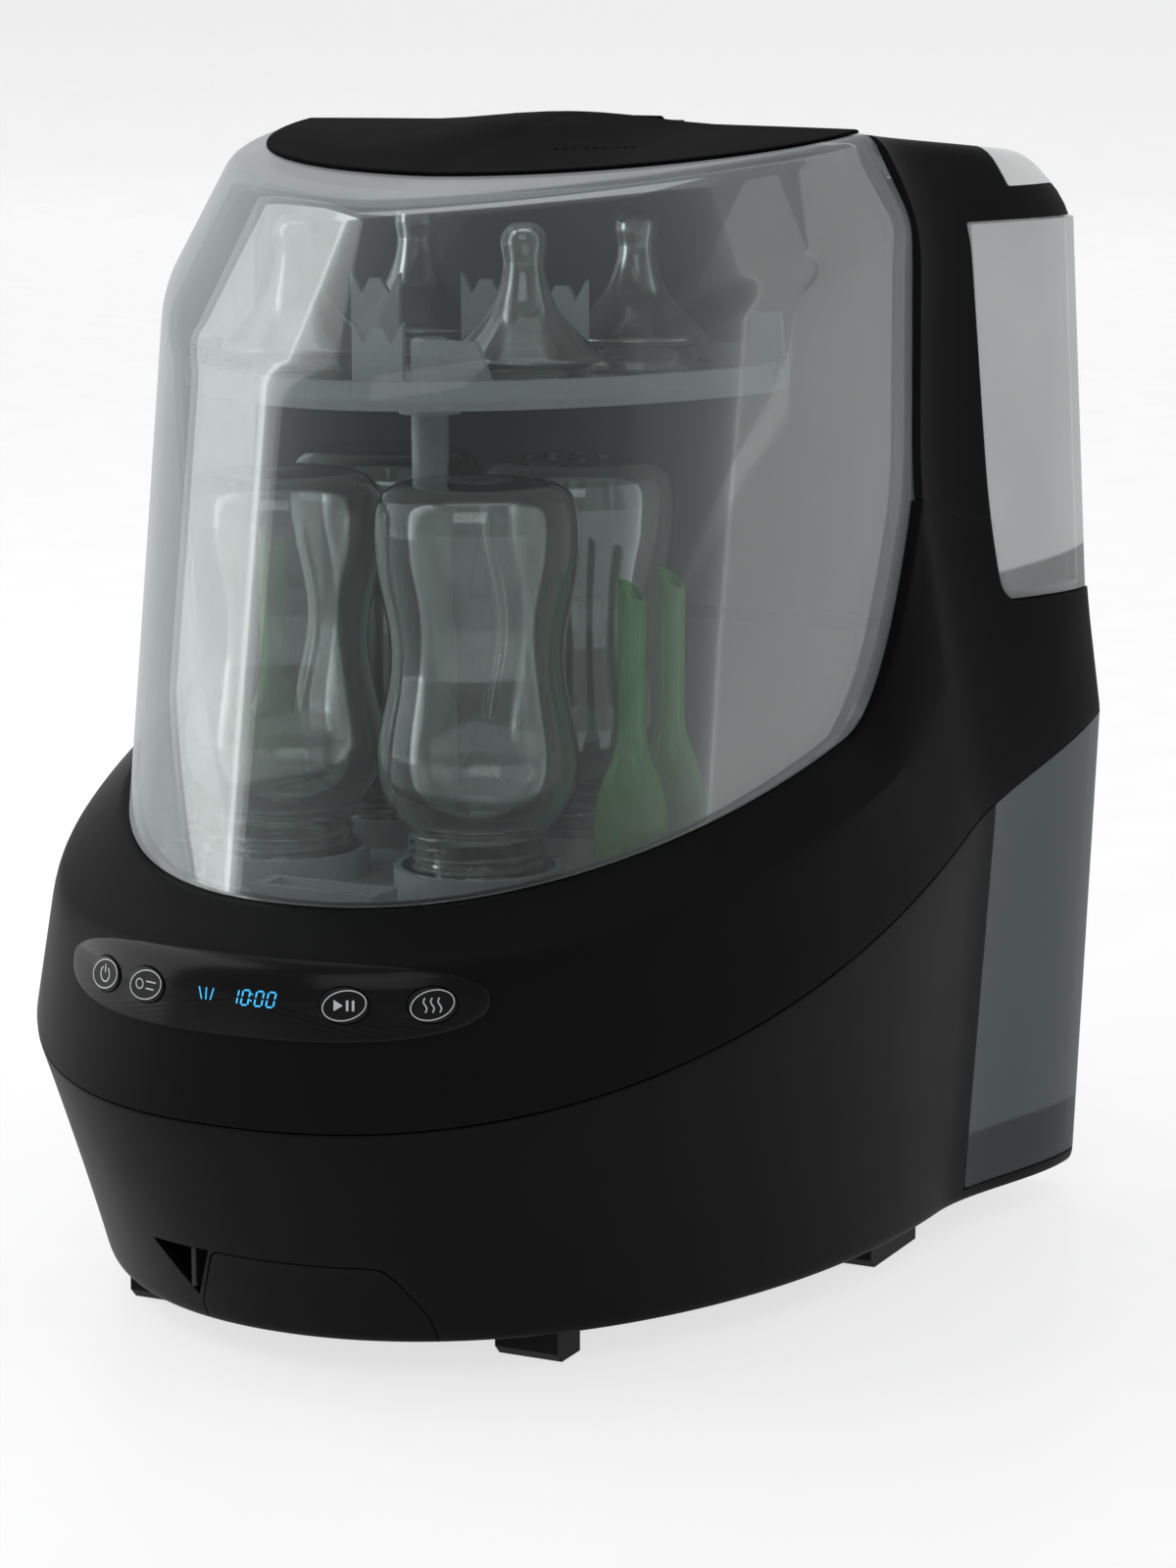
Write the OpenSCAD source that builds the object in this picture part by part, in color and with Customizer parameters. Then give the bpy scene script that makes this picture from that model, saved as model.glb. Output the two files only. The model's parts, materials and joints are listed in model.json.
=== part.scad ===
/* [Body] */
// Height of the housing's underside above the surface
body_z = 11; // [9:1:14]
// Distance from the centre to the front of the widest level
body_front = 170; // [165:1:175]
// Half the width of the widest level beside the wash chamber
body_half_w = 148; // [145:1:152]
// Thickness of the housing walls
wall = 3; // [2.5:0.5:4]

/* [Dome] */
// Wall thickness of the clear dome
dome_wall = 2.5; // [2:0.5:3]
// Gap between the dome's edge and the housing
dome_gap = 0.6; // [0.4:0.1:1]

/* [Tanks] */
// Wall thickness of the two water tanks
tank_wall = 2.4; // [2:0.2:3]
// Distance from the centre to the tanks' front walls
tank_front = 92; // [91:1:94]
// Clearance between a tank and its bay
tank_gap = 0.6; // [0.4:0.1:1]

/* [Load] */
// Diameter of a feeding bottle
bottle_d = 64; // [60:1:66]
// Distance between the middles of two bottles
bottle_pitch = 70; // [68:1:72]

/* [Controls] */
// Width of a push button
button_w = 15; // [13:0.5:16]
// Height of a push button
button_h = 11; // [10:0.5:12]

/* [Hidden] */

// ---- the outer skin ----
// The skin is a stack of levels. A level is a rounded outline whose height rises towards the back.
// [front y, half width at mid_y, half width at the back, back y, fullness,
//  z front, z mid_y, z back, rise power]
mid_y = 75;
back_r = 8;
back_y = 169;
foot_lv = [-137, body_half_w - 10, 155, back_y - 1, 2.06, body_z, body_z, body_z, 1];
belt_lv = [-body_front, body_half_w, 161, back_y + 1, 2.18, 85.5, 146, 175, 1.4];
crease_lv = [-body_front + 6, body_half_w - 8, 158, back_y + 1, 2.18, 135, 184, 196, 1.6];
rim_lv = [-133, 127, 155, back_y, 2.14, 146, 194, 216.4, 1.1];
kink_lv = [-113, 126, 148, back_y - 1, 1.9, 304, 346, 347, 0.8];
top_lv = [-80, 111, 132, back_y - 9, 1.8, 358, 374.5, 366, 0.8];

// Extra rise of the rim where it turns up into the column
rim_sweep = 60;
rim_sweep_start = 0.76;

// The same level moved inwards and upwards
function inset(lv, d, up = 0) =
    [lv[0] + d, lv[1] - d, lv[2] - d, lv[3] - d, lv[4], lv[5] + up, lv[6] + up, lv[7] + up, lv[8]];

// A level part of the way from one to another
function between(a, b, t) = [for (i = [0:8]) a[i] + (b[i] - a[i]) * t];

function root(v, e) = sign(v) * pow(abs(v), e);
function smooth(t) = t * t * (3 - 2 * t);
function rise(lv, y) = pow(max(0, min(1, (y - lv[0]) / (mid_y - lv[0]))), lv[8]);

// Point of a level's front half, from the left side (-90) round the front to the right side (90)
function front_xy(lv, a) =
    [lv[1] * root(sin(a), 2 / lv[4]), mid_y - (mid_y - lv[0]) * root(cos(a), 2 / lv[4])];
function front_point(lv, a) =
    let (p = front_xy(lv, a))
    [p[0], p[1], lv[5] + (lv[6] - lv[5]) * rise(lv, p[1])];

// Point of a level's back half on the right: straight side, round corner, flat back
side_end = 0.4;
corner_end = 0.8;
function back_xy(lv, v) =
    v < side_end
        ? let (u = v / side_end)
          [lv[1] + (lv[2] - lv[1]) * smooth(u), mid_y + (lv[3] - back_r - mid_y) * u]
        : v < corner_end
            ? let (a = 90 * (v - side_end) / (corner_end - side_end))
              [lv[2] - back_r + back_r * cos(a), lv[3] - back_r + back_r * sin(a)]
            : [(lv[2] - back_r) * (1 - v) / (1 - corner_end), lv[3]];
function back_point(lv, v) =
    let (p = back_xy(lv, v))
    [p[0], p[1], lv[6] + (lv[7] - lv[6]) * (p[1] - mid_y) / (lv[3] - mid_y)];

FRONT = [for (a = [-90:6:90]) a];
BACK = [0, 0.1, 0.2, 0.3, 0.4, 0.5, 0.6, 0.7, 0.8, 1];

function flip(p) = [-p[0], p[1], p[2]];
function front_ring(lv) = [for (a = FRONT) front_point(lv, a)];
function back_ring(lv) = concat(
    [for (v = BACK) back_point(lv, v)],
    [for (i = [len(BACK) - 2:-1:0]) flip(back_point(lv, BACK[i]))]);
function inner_part(list) = [for (i = [1:len(list) - 2]) list[i]];
function full_ring(lv) = concat(front_ring(lv), inner_part(back_ring(lv)));

// The rim level turns up steeply as it nears the column
function swept(p, lv, h = rim_sweep) =
    let (s = (p[1] - lv[0]) / (mid_y - lv[0]))
    [p[0], p[1], p[2] + h * pow(max(0, min(1, (s - rim_sweep_start) / (1 - rim_sweep_start))), 2.2)];
function rim_front(d, up = 0) =
    let (lv = inset(rim_lv, d, up))
    [for (a = FRONT) swept(front_point(lv, a), lv)];
function raised(lv, h) = [for (i = [0:8]) i == 6 ? lv[i] + h : lv[i]];
function rim_back(d) = back_ring(raised(inset(rim_lv, d), rim_sweep));
function rim_ring(d) = concat(rim_front(d), inner_part(rim_back(d)));

// ---- lofts through rings of points ----
function flat(rings) = [for (r = rings) for (p = r) p];

// Closed tube of wall: the rings run up the outside and down the inside
module wall_loop(rings) {
    m = len(rings[0]);
    k = len(rings);
    polyhedron(
        points = flat(rings),
        faces = [for (j = [0:k - 1]) for (i = [0:m - 1])
            let (a = j * m, b = ((j + 1) % k) * m, n = (i + 1) % m)
            each [[a + i, b + i, b + n], [a + i, b + n, a + n]]],
        convexity = 8);
}

// Solid stack of closed rings, with both ends closed on their middle points
module stack(rings, low_mid, high_mid) {
    m = len(rings[0]);
    k = len(rings);
    low = k * m;
    polyhedron(
        points = concat(flat(rings), [low_mid, high_mid]),
        faces = concat(
            [for (j = [0:k - 2]) for (i = [0:m - 1])
                let (a = j * m, b = (j + 1) * m, n = (i + 1) % m)
                each [[a + i, b + i, b + n], [a + i, b + n, a + n]]],
            [for (i = [0:m - 1]) [i, (i + 1) % m, low]],
            [for (i = [0:m - 1]) let (a = (k - 1) * m) [a + (i + 1) % m, a + i, low + 1]]),
        convexity = 8);
}

// Shell between two open stacks of rings, closed above on two apex points
module open_shell(outer, inner, tip_out, tip_in) {
    m = len(outer[0]);
    k = len(outer);
    q = k * m;
    t = 2 * q;
    last = (k - 1) * m;
    polyhedron(
        points = concat(flat(outer), flat(inner), [tip_out, tip_in]),
        faces = concat(
            [for (j = [0:k - 2]) for (i = [0:m - 2])
                let (a = j * m + i, b = a + m)
                each [[a, b, b + 1], [a, b + 1, a + 1],
                      [q + a, q + b + 1, q + b], [q + a, q + a + 1, q + b + 1]]],
            [for (i = [0:m - 2])
                each [[i, i + 1, q + i + 1], [i, q + i + 1, q + i],
                      [last + i + 1, last + i, t], [q + last + i, q + last + i + 1, t + 1]]],
            [for (j = [0:k - 2])
                let (a = j * m, b = a + m, c = a + m - 1, d = b + m - 1)
                each [[b, a, q + a], [b, q + a, q + b], [c, d, q + d], [c, q + d, q + c]]],
            [[t, last, q + last], [t, q + last, t + 1],
             [last + m - 1, t, t + 1], [last + m - 1, t + 1, q + last + m - 1]]),
        convexity = 8);
}

// Rings of a roof that closes on the point above the middle of the column's front
crown = 1;
function roof_mid(up) = [0, mid_y, top_lv[6] + crown + up];
function roof_ring(ring, s, up) =
    [for (p = ring) [p[0] * s, mid_y + (p[1] - mid_y) * s,
        (top_lv[6] * (1 - s) + p[2] * s) + crown * (1 - s * s) + up]];

// Closed bar through stations, each a profile of four points
module bar(stations) {
    n = len(stations);
    polyhedron(
        points = flat(stations),
        faces = concat(
            [for (j = [0:n - 2]) for (i = [0:3])
                let (a = j * 4, b = a + 4, k = (i + 1) % 4)
                each [[a + i, b + i, b + k], [a + i, b + k, a + k]]],
            [[0, 1, 2], [0, 2, 3]],
            [let (a = (n - 1) * 4) [a + 2, a + 1, a], let (a = (n - 1) * 4) [a + 3, a + 2, a]]),
        convexity = 8);
}

// Flat plate in the XZ plane, from an outline of [x, z] points, between two y values
module upright(points, y0, y1) {
    translate([0, y1, 0]) rotate([90, 0, 0]) linear_extrude(y1 - y0) polygon(points);
}
function both_sides(points) =
    concat(points, [for (i = [len(points) - 1:-1:0]) [-points[i][0], points[i][1]]]);

// ---- the front controls' places on the skin ----
band_lv = between(belt_lv, crease_lv, 0.8);
band_lean = atan(6 / 50);
function skin_y(lv, x) = mid_y - (mid_y - lv[0]) * pow(1 - pow(abs(x) / lv[1], lv[4]), 1 / lv[4]);
function skin_turn(lv, x) = atan2(skin_y(lv, x + 1) - skin_y(lv, x - 1), 2);
panel_x = 4;
panel_z = 125;
panel_h = 23;
panel_half = 71;
panel_t = 0.9;
button_x = [-47, -28.5, 38, 61];
module on_band(x) {
    translate([x, skin_y(band_lv, x), panel_z])
        rotate([0, 0, skin_turn(band_lv, x)]) rotate([-band_lean, 0, 0]) children();
}
module oval_prism(w, h, y0, y1) {
    upright([for (a = [0:12:348]) [w / 2 * cos(a), h / 2 * sin(a)]], y0, y1);
}

// ---- housings ----
strip_top = 15;
shelf_z = 216;
bay_top = 344.5;
hinge_y = 84;
hinge_z = 374;
barrel_r = 4.5;
barrel_half = 28;
pin_r = 2;
flap_front = 128;
flap_low = 355;
cover_x = [-26, -16, 42, 50];
cover_z = [18, 38];
recess_x = [-42, -16];
inlet_y = 28;
inlet_z = 24;
inlet_w = 28;
inlet_h = 20;

module behind(y, z0, z1) {
    translate([-200, y, z0]) cube([400, 110, z1 - z0]);
}
module along_x(half, r) {
    translate([-half, hinge_y, hinge_z]) rotate([0, 90, 0]) cylinder(h = 2 * half, r = r, $fn = 48);
}

// Outline of the service cover, and of the finger recess beside it
function cover_outline(g) = [
    [cover_x[0] - g, body_z - 5], [cover_x[0] - g, cover_z[0]], [cover_x[1] - g, cover_z[1] + g],
    [cover_x[2] - 3, cover_z[1] + g], [cover_x[2] + g, cover_z[1] - 3],
    [cover_x[3] + g, cover_z[0] + 2], [cover_x[3] + g, body_z - 5]];
recess_outline = [
    [recess_x[0], cover_z[1] - 1], [recess_x[1] - 1.5, cover_z[1]], [cover_x[0] - 0.8, cover_z[0] + 2]];

// Rings of the lower skin, moved inwards by d, at these parts of the way from foot to belt
function lower_rings(parts, d) = [for (t = parts) full_ring(inset(between(foot_lv, belt_lv, t), d))];
module lower_skin(d) {
    stack(lower_rings([0, 0.35, 0.7, 1], d), [0, mid_y, body_z], [0, mid_y, belt_lv[6]]);
}

module lower_housing() {
    color([0.09, 0.09, 0.095])
    difference() {
        wall_loop(concat(lower_rings([0, 0.35, 0.7, 1], 0), lower_rings([1, 0.7, 0.35, 0], wall)));
        behind(tank_front - tank_gap, strip_top, 200);
        upright(cover_outline(0.4), -150, -100);
        upright(recess_outline, -150, -100);
        translate([-160, inlet_y - 0.3, inlet_z - 0.3]) cube([40, inlet_w + 0.6, inlet_h + 0.6]);
    }
}

// The clean tank's front leans: its foot is further back than its top
clean_foot_y = 114;
clean_top_y = 104;
module clean_block(g, z0, z1) {
    rotate([90, 0, 90]) translate([0, 0, -200]) linear_extrude(400)
        polygon([[clean_foot_y + g, z0], [300, z0], [300, z1], [clean_top_y + g, z1]]);
}
module bay_cut() {
    clean_block(-tank_gap, shelf_z, bay_top);
}

// Collar round the dome's foot, with the shelf that the clean tank stands on
module upper_housing() {
    color([0.1, 0.1, 0.105])
    difference() {
        union() {
            wall_loop([
                full_ring(inset(belt_lv, 0, 0.4)), full_ring(crease_lv), rim_ring(0), rim_ring(wall + 3),
                full_ring(inset(crease_lv, wall, -2)), full_ring(inset(belt_lv, wall, 0.4))]);
            intersection() {
                translate([0, 0, shelf_z - 6]) linear_extrude(4.5)
                    polygon([for (p = back_ring(inset(rim_lv, 1))) [p[0], p[1]]]);
                behind(tank_front - 6, 0, 300);
            }
        }
        bay_cut();
        for (x = button_x) on_band(x) oval_prism(button_w + 0.8, button_h + 0.8, -4, 10);
    }
}

// Column behind the dome, with the frame round the clean tank and the roof over it
module rear_column() {
    color([0.1, 0.1, 0.105])
    difference() {
        open_shell(
            [rim_back(0), back_ring(kink_lv), back_ring(top_lv), roof_ring(back_ring(top_lv), 0.5, -crown)],
            [rim_back(wall), back_ring(inset(kink_lv, wall)), back_ring(inset(top_lv, wall, -wall)),
                roof_ring(back_ring(inset(top_lv, wall, -wall)), 0.5, -crown)],
            roof_mid(-crown), roof_mid(-crown - wall));
        bay_cut();
        behind(flap_front, flap_low, 400);
        along_x(barrel_half + 7, barrel_r + 0.6);
        translate([-barrel_half - 7, mid_y - 1, hinge_z - barrel_r - 4])
            cube([2 * barrel_half + 14, 15.6, 30]);
    }
}

// Back wall of the wash chamber, with the hot-air outlet
module chamber_wall() {
    color([0.14, 0.14, 0.15])
    difference() {
        upright(both_sides([[115, 141], [116, 190], [121.7, 254], [121.7, 346], [105.5, 370]]), 75.3, 78.3);
        along_x(barrel_half + 7, barrel_r + 0.6);
        for (i = [-2:2]) translate([i * 9, 80, 285]) rotate([90, 0, 0]) cylinder(h = 8, r = 2.6, $fn = 24);
    }
}

// Wall between the machine space and the tank bay
module bay_wall() {
    color([0.12, 0.12, 0.12])
        upright(both_sides([[134, body_z + 3.1], [143, 148]]), tank_front - 5, tank_front - 2);
}

module base_plate() {
    color([0.12, 0.12, 0.12])
    intersection() {
        translate([0, 0, body_z]) linear_extrude(3)
            polygon([for (p = full_ring(inset(foot_lv, wall + 0.1))) [p[0], p[1]]]);
        translate([-200, -131, 0]) cube([400, 131 + tank_front - 2, 50]);
    }
}

// ---- dome ----
dome_skin = wall;
// Gap between the dome's rear edge and the column
rear_gap = 0.4;
function dome_rings(d, up) = [
    rim_front(d, dome_gap), front_ring(inset(kink_lv, d)), front_ring(inset(top_lv, d, up)),
    roof_ring(front_ring(inset(top_lv, d, up)), 0.6, 0),
    roof_ring(front_ring(inset(top_lv, d, up)), 0.25, 0)];

module dome() {
    color([0.5, 0.53, 0.55, 0.35])
    difference() {
        open_shell(dome_rings(dome_skin, 0), dome_rings(dome_skin + dome_wall, -dome_wall),
            roof_mid(0), roof_mid(-dome_wall));
        behind(mid_y - rear_gap, 0, 400);
    }
}

// Black cover on the dome: wide at the sides, set back in the middle, with a low hump to the hinge barrel
cover_mid = 0.71;
cover_side = 0.96;
cover_t = 1.2;
hump = 3.2;
hump_half = 55;
function cover_reach(p, w) = cover_mid + (cover_side - cover_mid) * pow(abs(p[0]) / w, 1.5);
cover_front = mid_y - (mid_y - top_lv[0] - dome_skin) * cover_mid;
function hump_at(x, y) = hump * pow(max(0, 1 - pow(x / hump_half, 2)), 2)
    * smooth(max(0, min(1, (y - cover_front) / (mid_y - cover_front))));
function cover_ring(q, under) =
    let (lv = inset(top_lv, dome_skin))
    [for (p = front_ring(lv))
        let (s = cover_reach(p, lv[1]) * q, x = p[0] * s, y = mid_y + (p[1] - mid_y) * s,
            lift = under ? 0.1 : q == 1 ? 0.4 : cover_t + hump_at(x, y))
        [x, y, top_lv[6] * (1 - s) + p[2] * s + crown * (1 - s * s) + lift]];
COVER_STEPS = [1, 0.97, 0.8, 0.6, 0.4, 0.2];
// Web that joins the cover to the hinge barrel over the dome's rear edge
web_z = 375.8;
web_t = 2.4;
web_half = 24;
module dome_top_cover() {
    color([0.08, 0.08, 0.085])
    difference() {
        union() {
            difference() {
                open_shell(
                    [for (q = COVER_STEPS) cover_ring(q, false)], [for (q = COVER_STEPS) cover_ring(q, true)],
                    roof_mid(cover_t + hump), roof_mid(0.1));
                behind(mid_y - rear_gap, 0, 400);
            }
            along_x(barrel_half, barrel_r);
            translate([-web_half, mid_y - 5, web_z]) cube([2 * web_half, hinge_y - mid_y + 5, web_t]);
        }
        along_x(barrel_half + 1, pin_r + 0.05);
        for (i = [0:2]) for (j = [-1:1])
            translate([46 - i * 9 + j * 2.6, 18 - i * 4 + j, 360]) cylinder(h = 40, r = 0.9, $fn = 16);
    }
}

module hinge_pin() {
    color([0.7, 0.7, 0.72]) along_x(barrel_half + 6, pin_r);
}
module hinge_brackets() {
    color([0.15, 0.15, 0.15])
    for (s = [-1, 1])
        difference() {
            translate([s * (barrel_half + 3.6) - 2.4, hinge_y - 5, hinge_z - 24]) cube([4.8, 10, 27]);
            along_x(barrel_half + 8, pin_r);
        }
}

// ---- tanks ----
tank_low_lv = [for (i = [0:8]) i == 6 || i == 7 ? shelf_z + tank_gap - 1 : rim_lv[i]];
module upper_back_skin(d) {
    stack([full_ring(inset(tank_low_lv, d)), full_ring(inset(kink_lv, d))],
        [0, mid_y, shelf_z + tank_gap - 1], [0, mid_y, kink_lv[6]]);
}
module clean_tank() {
    color([0.75, 0.8, 0.82, 0.4])
    difference() {
        intersection() {
            upper_back_skin(0);
            clean_block(0, shelf_z + tank_gap, bay_top - tank_gap);
        }
        intersection() {
            upper_back_skin(tank_wall);
            clean_block(tank_wall, shelf_z + tank_gap + tank_wall, bay_top + 5);
        }
        translate([60, 130, shelf_z - 5]) cylinder(h = 20, r = 7.05, $fn = 32);
    }
}
module clean_tank_valve() {
    color([0.25, 0.25, 0.27]) {
        translate([60, 130, shelf_z + tank_gap]) cylinder(h = 10, r = 7, $fn = 32);
        translate([60, 130, shelf_z + tank_gap + 10]) cylinder(h = 4, r = 9, $fn = 32);
    }
}
tank_floor = strip_top + tank_gap + tank_wall;
rod = [-60, 128];
rod_r = 3;
module dirty_tank() {
    color([0.2, 0.22, 0.23, 0.6]) {
        difference() {
            intersection() {
                translate([0, 0, -0.4]) lower_skin(0);
                behind(tank_front, strip_top + tank_gap, 200);
            }
            intersection() {
                translate([0, 0, -3]) lower_skin(tank_wall);
                behind(tank_front + tank_wall, tank_floor, 200);
            }
            translate([0, 120, 140]) cylinder(h = 60, r = 12, $fn = 32);
        }
        translate([rod[0], rod[1], tank_floor]) cylinder(h = 134, r = rod_r, $fn = 32);
    }
}
// Level float, which slides on the rod
module tank_float() {
    color([0.85, 0.85, 0.8])
    difference() {
        translate([rod[0], rod[1], tank_floor + 0.3]) cylinder(h = 12, r = 11, $fn = 40);
        translate([rod[0], rod[1], 0]) cylinder(h = 60, r = rod_r + 0.08, $fn = 32);
    }
}

// Clear flap over the clean tank's filling opening
module fill_flap() {
    color([0.88, 0.89, 0.9, 0.5])
    intersection() {
        open_shell(
            [back_ring(kink_lv), back_ring(top_lv), roof_ring(back_ring(top_lv), 0.5, -crown)],
            [back_ring(inset(kink_lv, wall)), back_ring(inset(top_lv, wall, -wall)),
                roof_ring(back_ring(inset(top_lv, wall, -wall)), 0.5, -crown)],
            roof_mid(-crown), roof_mid(-crown - wall));
        behind(flap_front + 0.4, flap_low + 0.4, 400);
    }
}

// ---- front controls ----
module band_skin(d0, d1) {
    wall_loop([full_ring(inset(belt_lv, d0)), full_ring(inset(crease_lv, d0)),
        full_ring(inset(crease_lv, d1)), full_ring(inset(belt_lv, d1))]);
}
panel_outline =
    [for (a = [0:10:350]) [panel_half * root(cos(a), 0.5), panel_h / 2 * root(sin(a), 0.8)]];
module control_panel() {
    color([0.03, 0.03, 0.035])
    difference() {
        intersection() {
            band_skin(-panel_t, -0.12);
            translate([panel_x, 0, panel_z])
                upright(panel_outline, -190, -60);
        }
        for (x = button_x) on_band(x) oval_prism(button_w + 0.6, button_h + 0.6, -8, 8);
    }
}
module button(i) {
    color([0.06, 0.06, 0.065]) on_band(button_x[i]) {
        oval_prism(button_w, button_h, -1.4, 3);
        oval_prism(button_w - 6, button_h - 4, 3, 6);
    }
}
// Depth of the display's circuit board behind the skin, and a board's thickness
board_depth = 18.2;
board_t = 1.6;
module display_module() {
    color([0.05, 0.1, 0.16]) on_band(panel_x + 2)
        translate([-14, wall + 2.4, -7]) cube([28, 4, 14]);
}
module display_board() {
    color([0.05, 0.3, 0.15]) on_band(panel_x + 2)
        translate([-20, board_depth, -10]) cube([40, board_t, 20]);
}

// ---- underside ----
foot_w = 22;
foot_chamfer = 4.4;
// Block foot with a chamfer along the lower front edge
module foot(x, y, l) {
    translate([x - foot_w / 2, y - l / 2, 0])
    difference() {
        cube([foot_w, l, body_z]);
        translate([foot_w / 2, 0, 0]) rotate([45, 0, 0])
            cube([foot_w + 2, foot_chamfer, foot_chamfer], center = true);
    }
}
module feet() {
    color([0.05, 0.05, 0.05])
    for (s = [-1, 1]) {
        foot(s * 67, -89, 16);
        foot(s * 117, 58, 40);
    }
}
// Screws that hold the base plate to the lower housing
module base_screws() {
    color([0.6, 0.6, 0.62])
    for (s = [-1, 1]) for (p = [[40, -112], [98, -50], [125, 24], [60, 80]])
        translate([s * p[0], p[1], body_z - 1.5]) cylinder(h = 1.5, r = 3.5, $fn = 24);
}
module service_cover() {
    color([0.085, 0.085, 0.09])
    intersection() {
        wall_loop(concat(lower_rings([0, 0.35, 0.7], 0), lower_rings([0.7, 0.35, 0], wall)));
        upright(cover_outline(0), -150, -100);
    }
}
// Recess behind the finger opening, with its rib
module finger_recess() {
    color([0.03, 0.03, 0.03]) {
        upright([[-46, 15], [-46, 46], [-8, 46], [-20, 15]], -121.5, -119.5);
        translate([-29, -139, 23]) cube([1.6, 17.6, 13]);
    }
}

// ---- wash chamber ----
// Middle of the bottles and of the feed pipe
mid = [0, -31];
basin_z = 104;
basin_top = 138;
module chamber_plan(d, back) {
    intersection() {
        polygon(concat([for (a = FRONT) front_xy(inset(rim_lv, d), a)], [[0, mid_y]]));
        translate([-200, -300]) square([400, 300 + back]);
    }
}
module wash_basin() {
    color([0.55, 0.56, 0.58])
    difference() {
        translate([0, 0, basin_z]) linear_extrude(basin_top - basin_z) chamber_plan(12, 74);
        translate([0, 0, basin_z + 3]) linear_extrude(50) chamber_plan(15, 71);
        translate([mid[0], mid[1], basin_z - 1]) cylinder(h = 10, r = 9, $fn = 32);
        translate([sump_at[0], sump_at[1], basin_z - 1]) cylinder(h = 10, r = 14, $fn = 32);
    }
}
module basin_seal() {
    color([0.2, 0.2, 0.2])
    bar([for (i = [1:len(FRONT) - 2])
        let (a = rim_front(wall + 3.2, -3), b = rim_front(wall + 3.2, 1), c = rim_front(wall + 5.5, 1),
            d = rim_front(wall + 5.5, -3))
        [a[i], d[i], c[i], b[i]]]);
}
// Middle of the drain sump under the basin
sump_at = [50, 30];
module sump_filter() {
    color([0.75, 0.76, 0.78])
    difference() {
        translate([sump_at[0], sump_at[1], basin_z - 16]) cylinder(h = 20, r = 13.5, $fn = 32);
        translate([sump_at[0], sump_at[1], basin_z - 14]) cylinder(h = 30, r = 12, $fn = 32);
    }
}
module sump() {
    color([0.2, 0.2, 0.21])
    difference() {
        translate([sump_at[0], sump_at[1], basin_z - 22]) cylinder(h = 21.9, r = 18, $fn = 32);
        translate([sump_at[0], sump_at[1], basin_z - 18]) cylinder(h = 30, r = 14.2, $fn = 32);
    }
}
pitch = bottle_pitch / 2;
module at_bottles() {
    for (sx = [-1, 1]) for (sy = [-1, 1])
        translate([mid[0] + sx * pitch, mid[1] + sy * pitch, 0]) children();
}
// Fixed hub with four arms and an upward jet under each bottle
module spray_manifold() {
    color([0.7, 0.72, 0.74]) {
        difference() {
            union() {
                translate([mid[0], mid[1], basin_z + 10]) cylinder(h = 10, r = 14, $fn = 32);
                for (a = [45:90:315]) translate([mid[0], mid[1], basin_z + 10]) rotate([0, 0, a])
                    translate([0, -3.2, 0]) cube([pitch * sqrt(2), 6.4, 8]);
                at_bottles() translate([0, 0, basin_z + 10]) cylinder(h = 34, r = 4, $fn = 24);
            }
            at_bottles() translate([0, 0, basin_z + 20]) cylinder(h = 40, r = 2.2, $fn = 24);
            translate([mid[0], mid[1], 0]) cylinder(h = 200, r = 8.3, $fn = 32);
        }
    }
}
pipe_top = 312;
module feed_pipe() {
    color([0.72, 0.75, 0.77])
    difference() {
        translate([mid[0], mid[1], 0]) {
            translate([0, 0, basin_z - 3]) cylinder(h = 120, r = 8.2, $fn = 32);
            translate([0, 0, basin_z + 117]) cylinder(h = 50, r = 6.8, $fn = 32);
            translate([0, 0, 255]) cylinder(h = 12, r = 8.4, $fn = 32);
            translate([0, 0, 266]) cylinder(h = pipe_top - 266, r = 6, $fn = 32);
        }
        translate([mid[0], mid[1], basin_z - 4]) cylinder(h = pipe_top - 20 - basin_z, r = 4.5, $fn = 32);
    }
}
rack_z = basin_top + 0.1;
seat_r = 24.5;
// Round opening with a cross of webs, which carries a bottle's mouth clear of the jet
module seat_openings() {
    difference() {
        translate([0, 0, rack_z - 1]) cylinder(h = 40, r = seat_r, $fn = 48);
        difference() {
            for (a = [0, 90]) rotate([0, 0, a])
                translate([-seat_r - 1, -1.2, rack_z + 4]) cube([2 * seat_r + 2, 2.4, 4]);
            cylinder(h = 200, r = 4.8, $fn = 24);
        }
    }
}
module lower_rack() {
    color([0.78, 0.8, 0.81])
    difference() {
        union() {
            translate([0, 0, rack_z]) linear_extrude(3) chamber_plan(12.2, 73.5);
            at_bottles() translate([0, 0, rack_z]) cylinder(h = 12, r = 27, $fn = 48);
            translate([mid[0], -112, rack_z]) difference() {
                translate([-22, 0, 0]) cube([44, 16, 9]);
                translate([-18, 4, 3]) cube([36, 9, 20]);
            }
        }
        at_bottles() seat_openings();
        translate([mid[0], mid[1], 0]) cylinder(h = 300, r = 8.6, $fn = 32);
        for (s = [-1, 1]) for (i = [-3:4])
            translate([s * 88 - 7, i * 14 - 22, rack_z - 1]) cube([14, 6, 8]);
    }
}
bottle_z = rack_z + 8.1;
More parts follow.
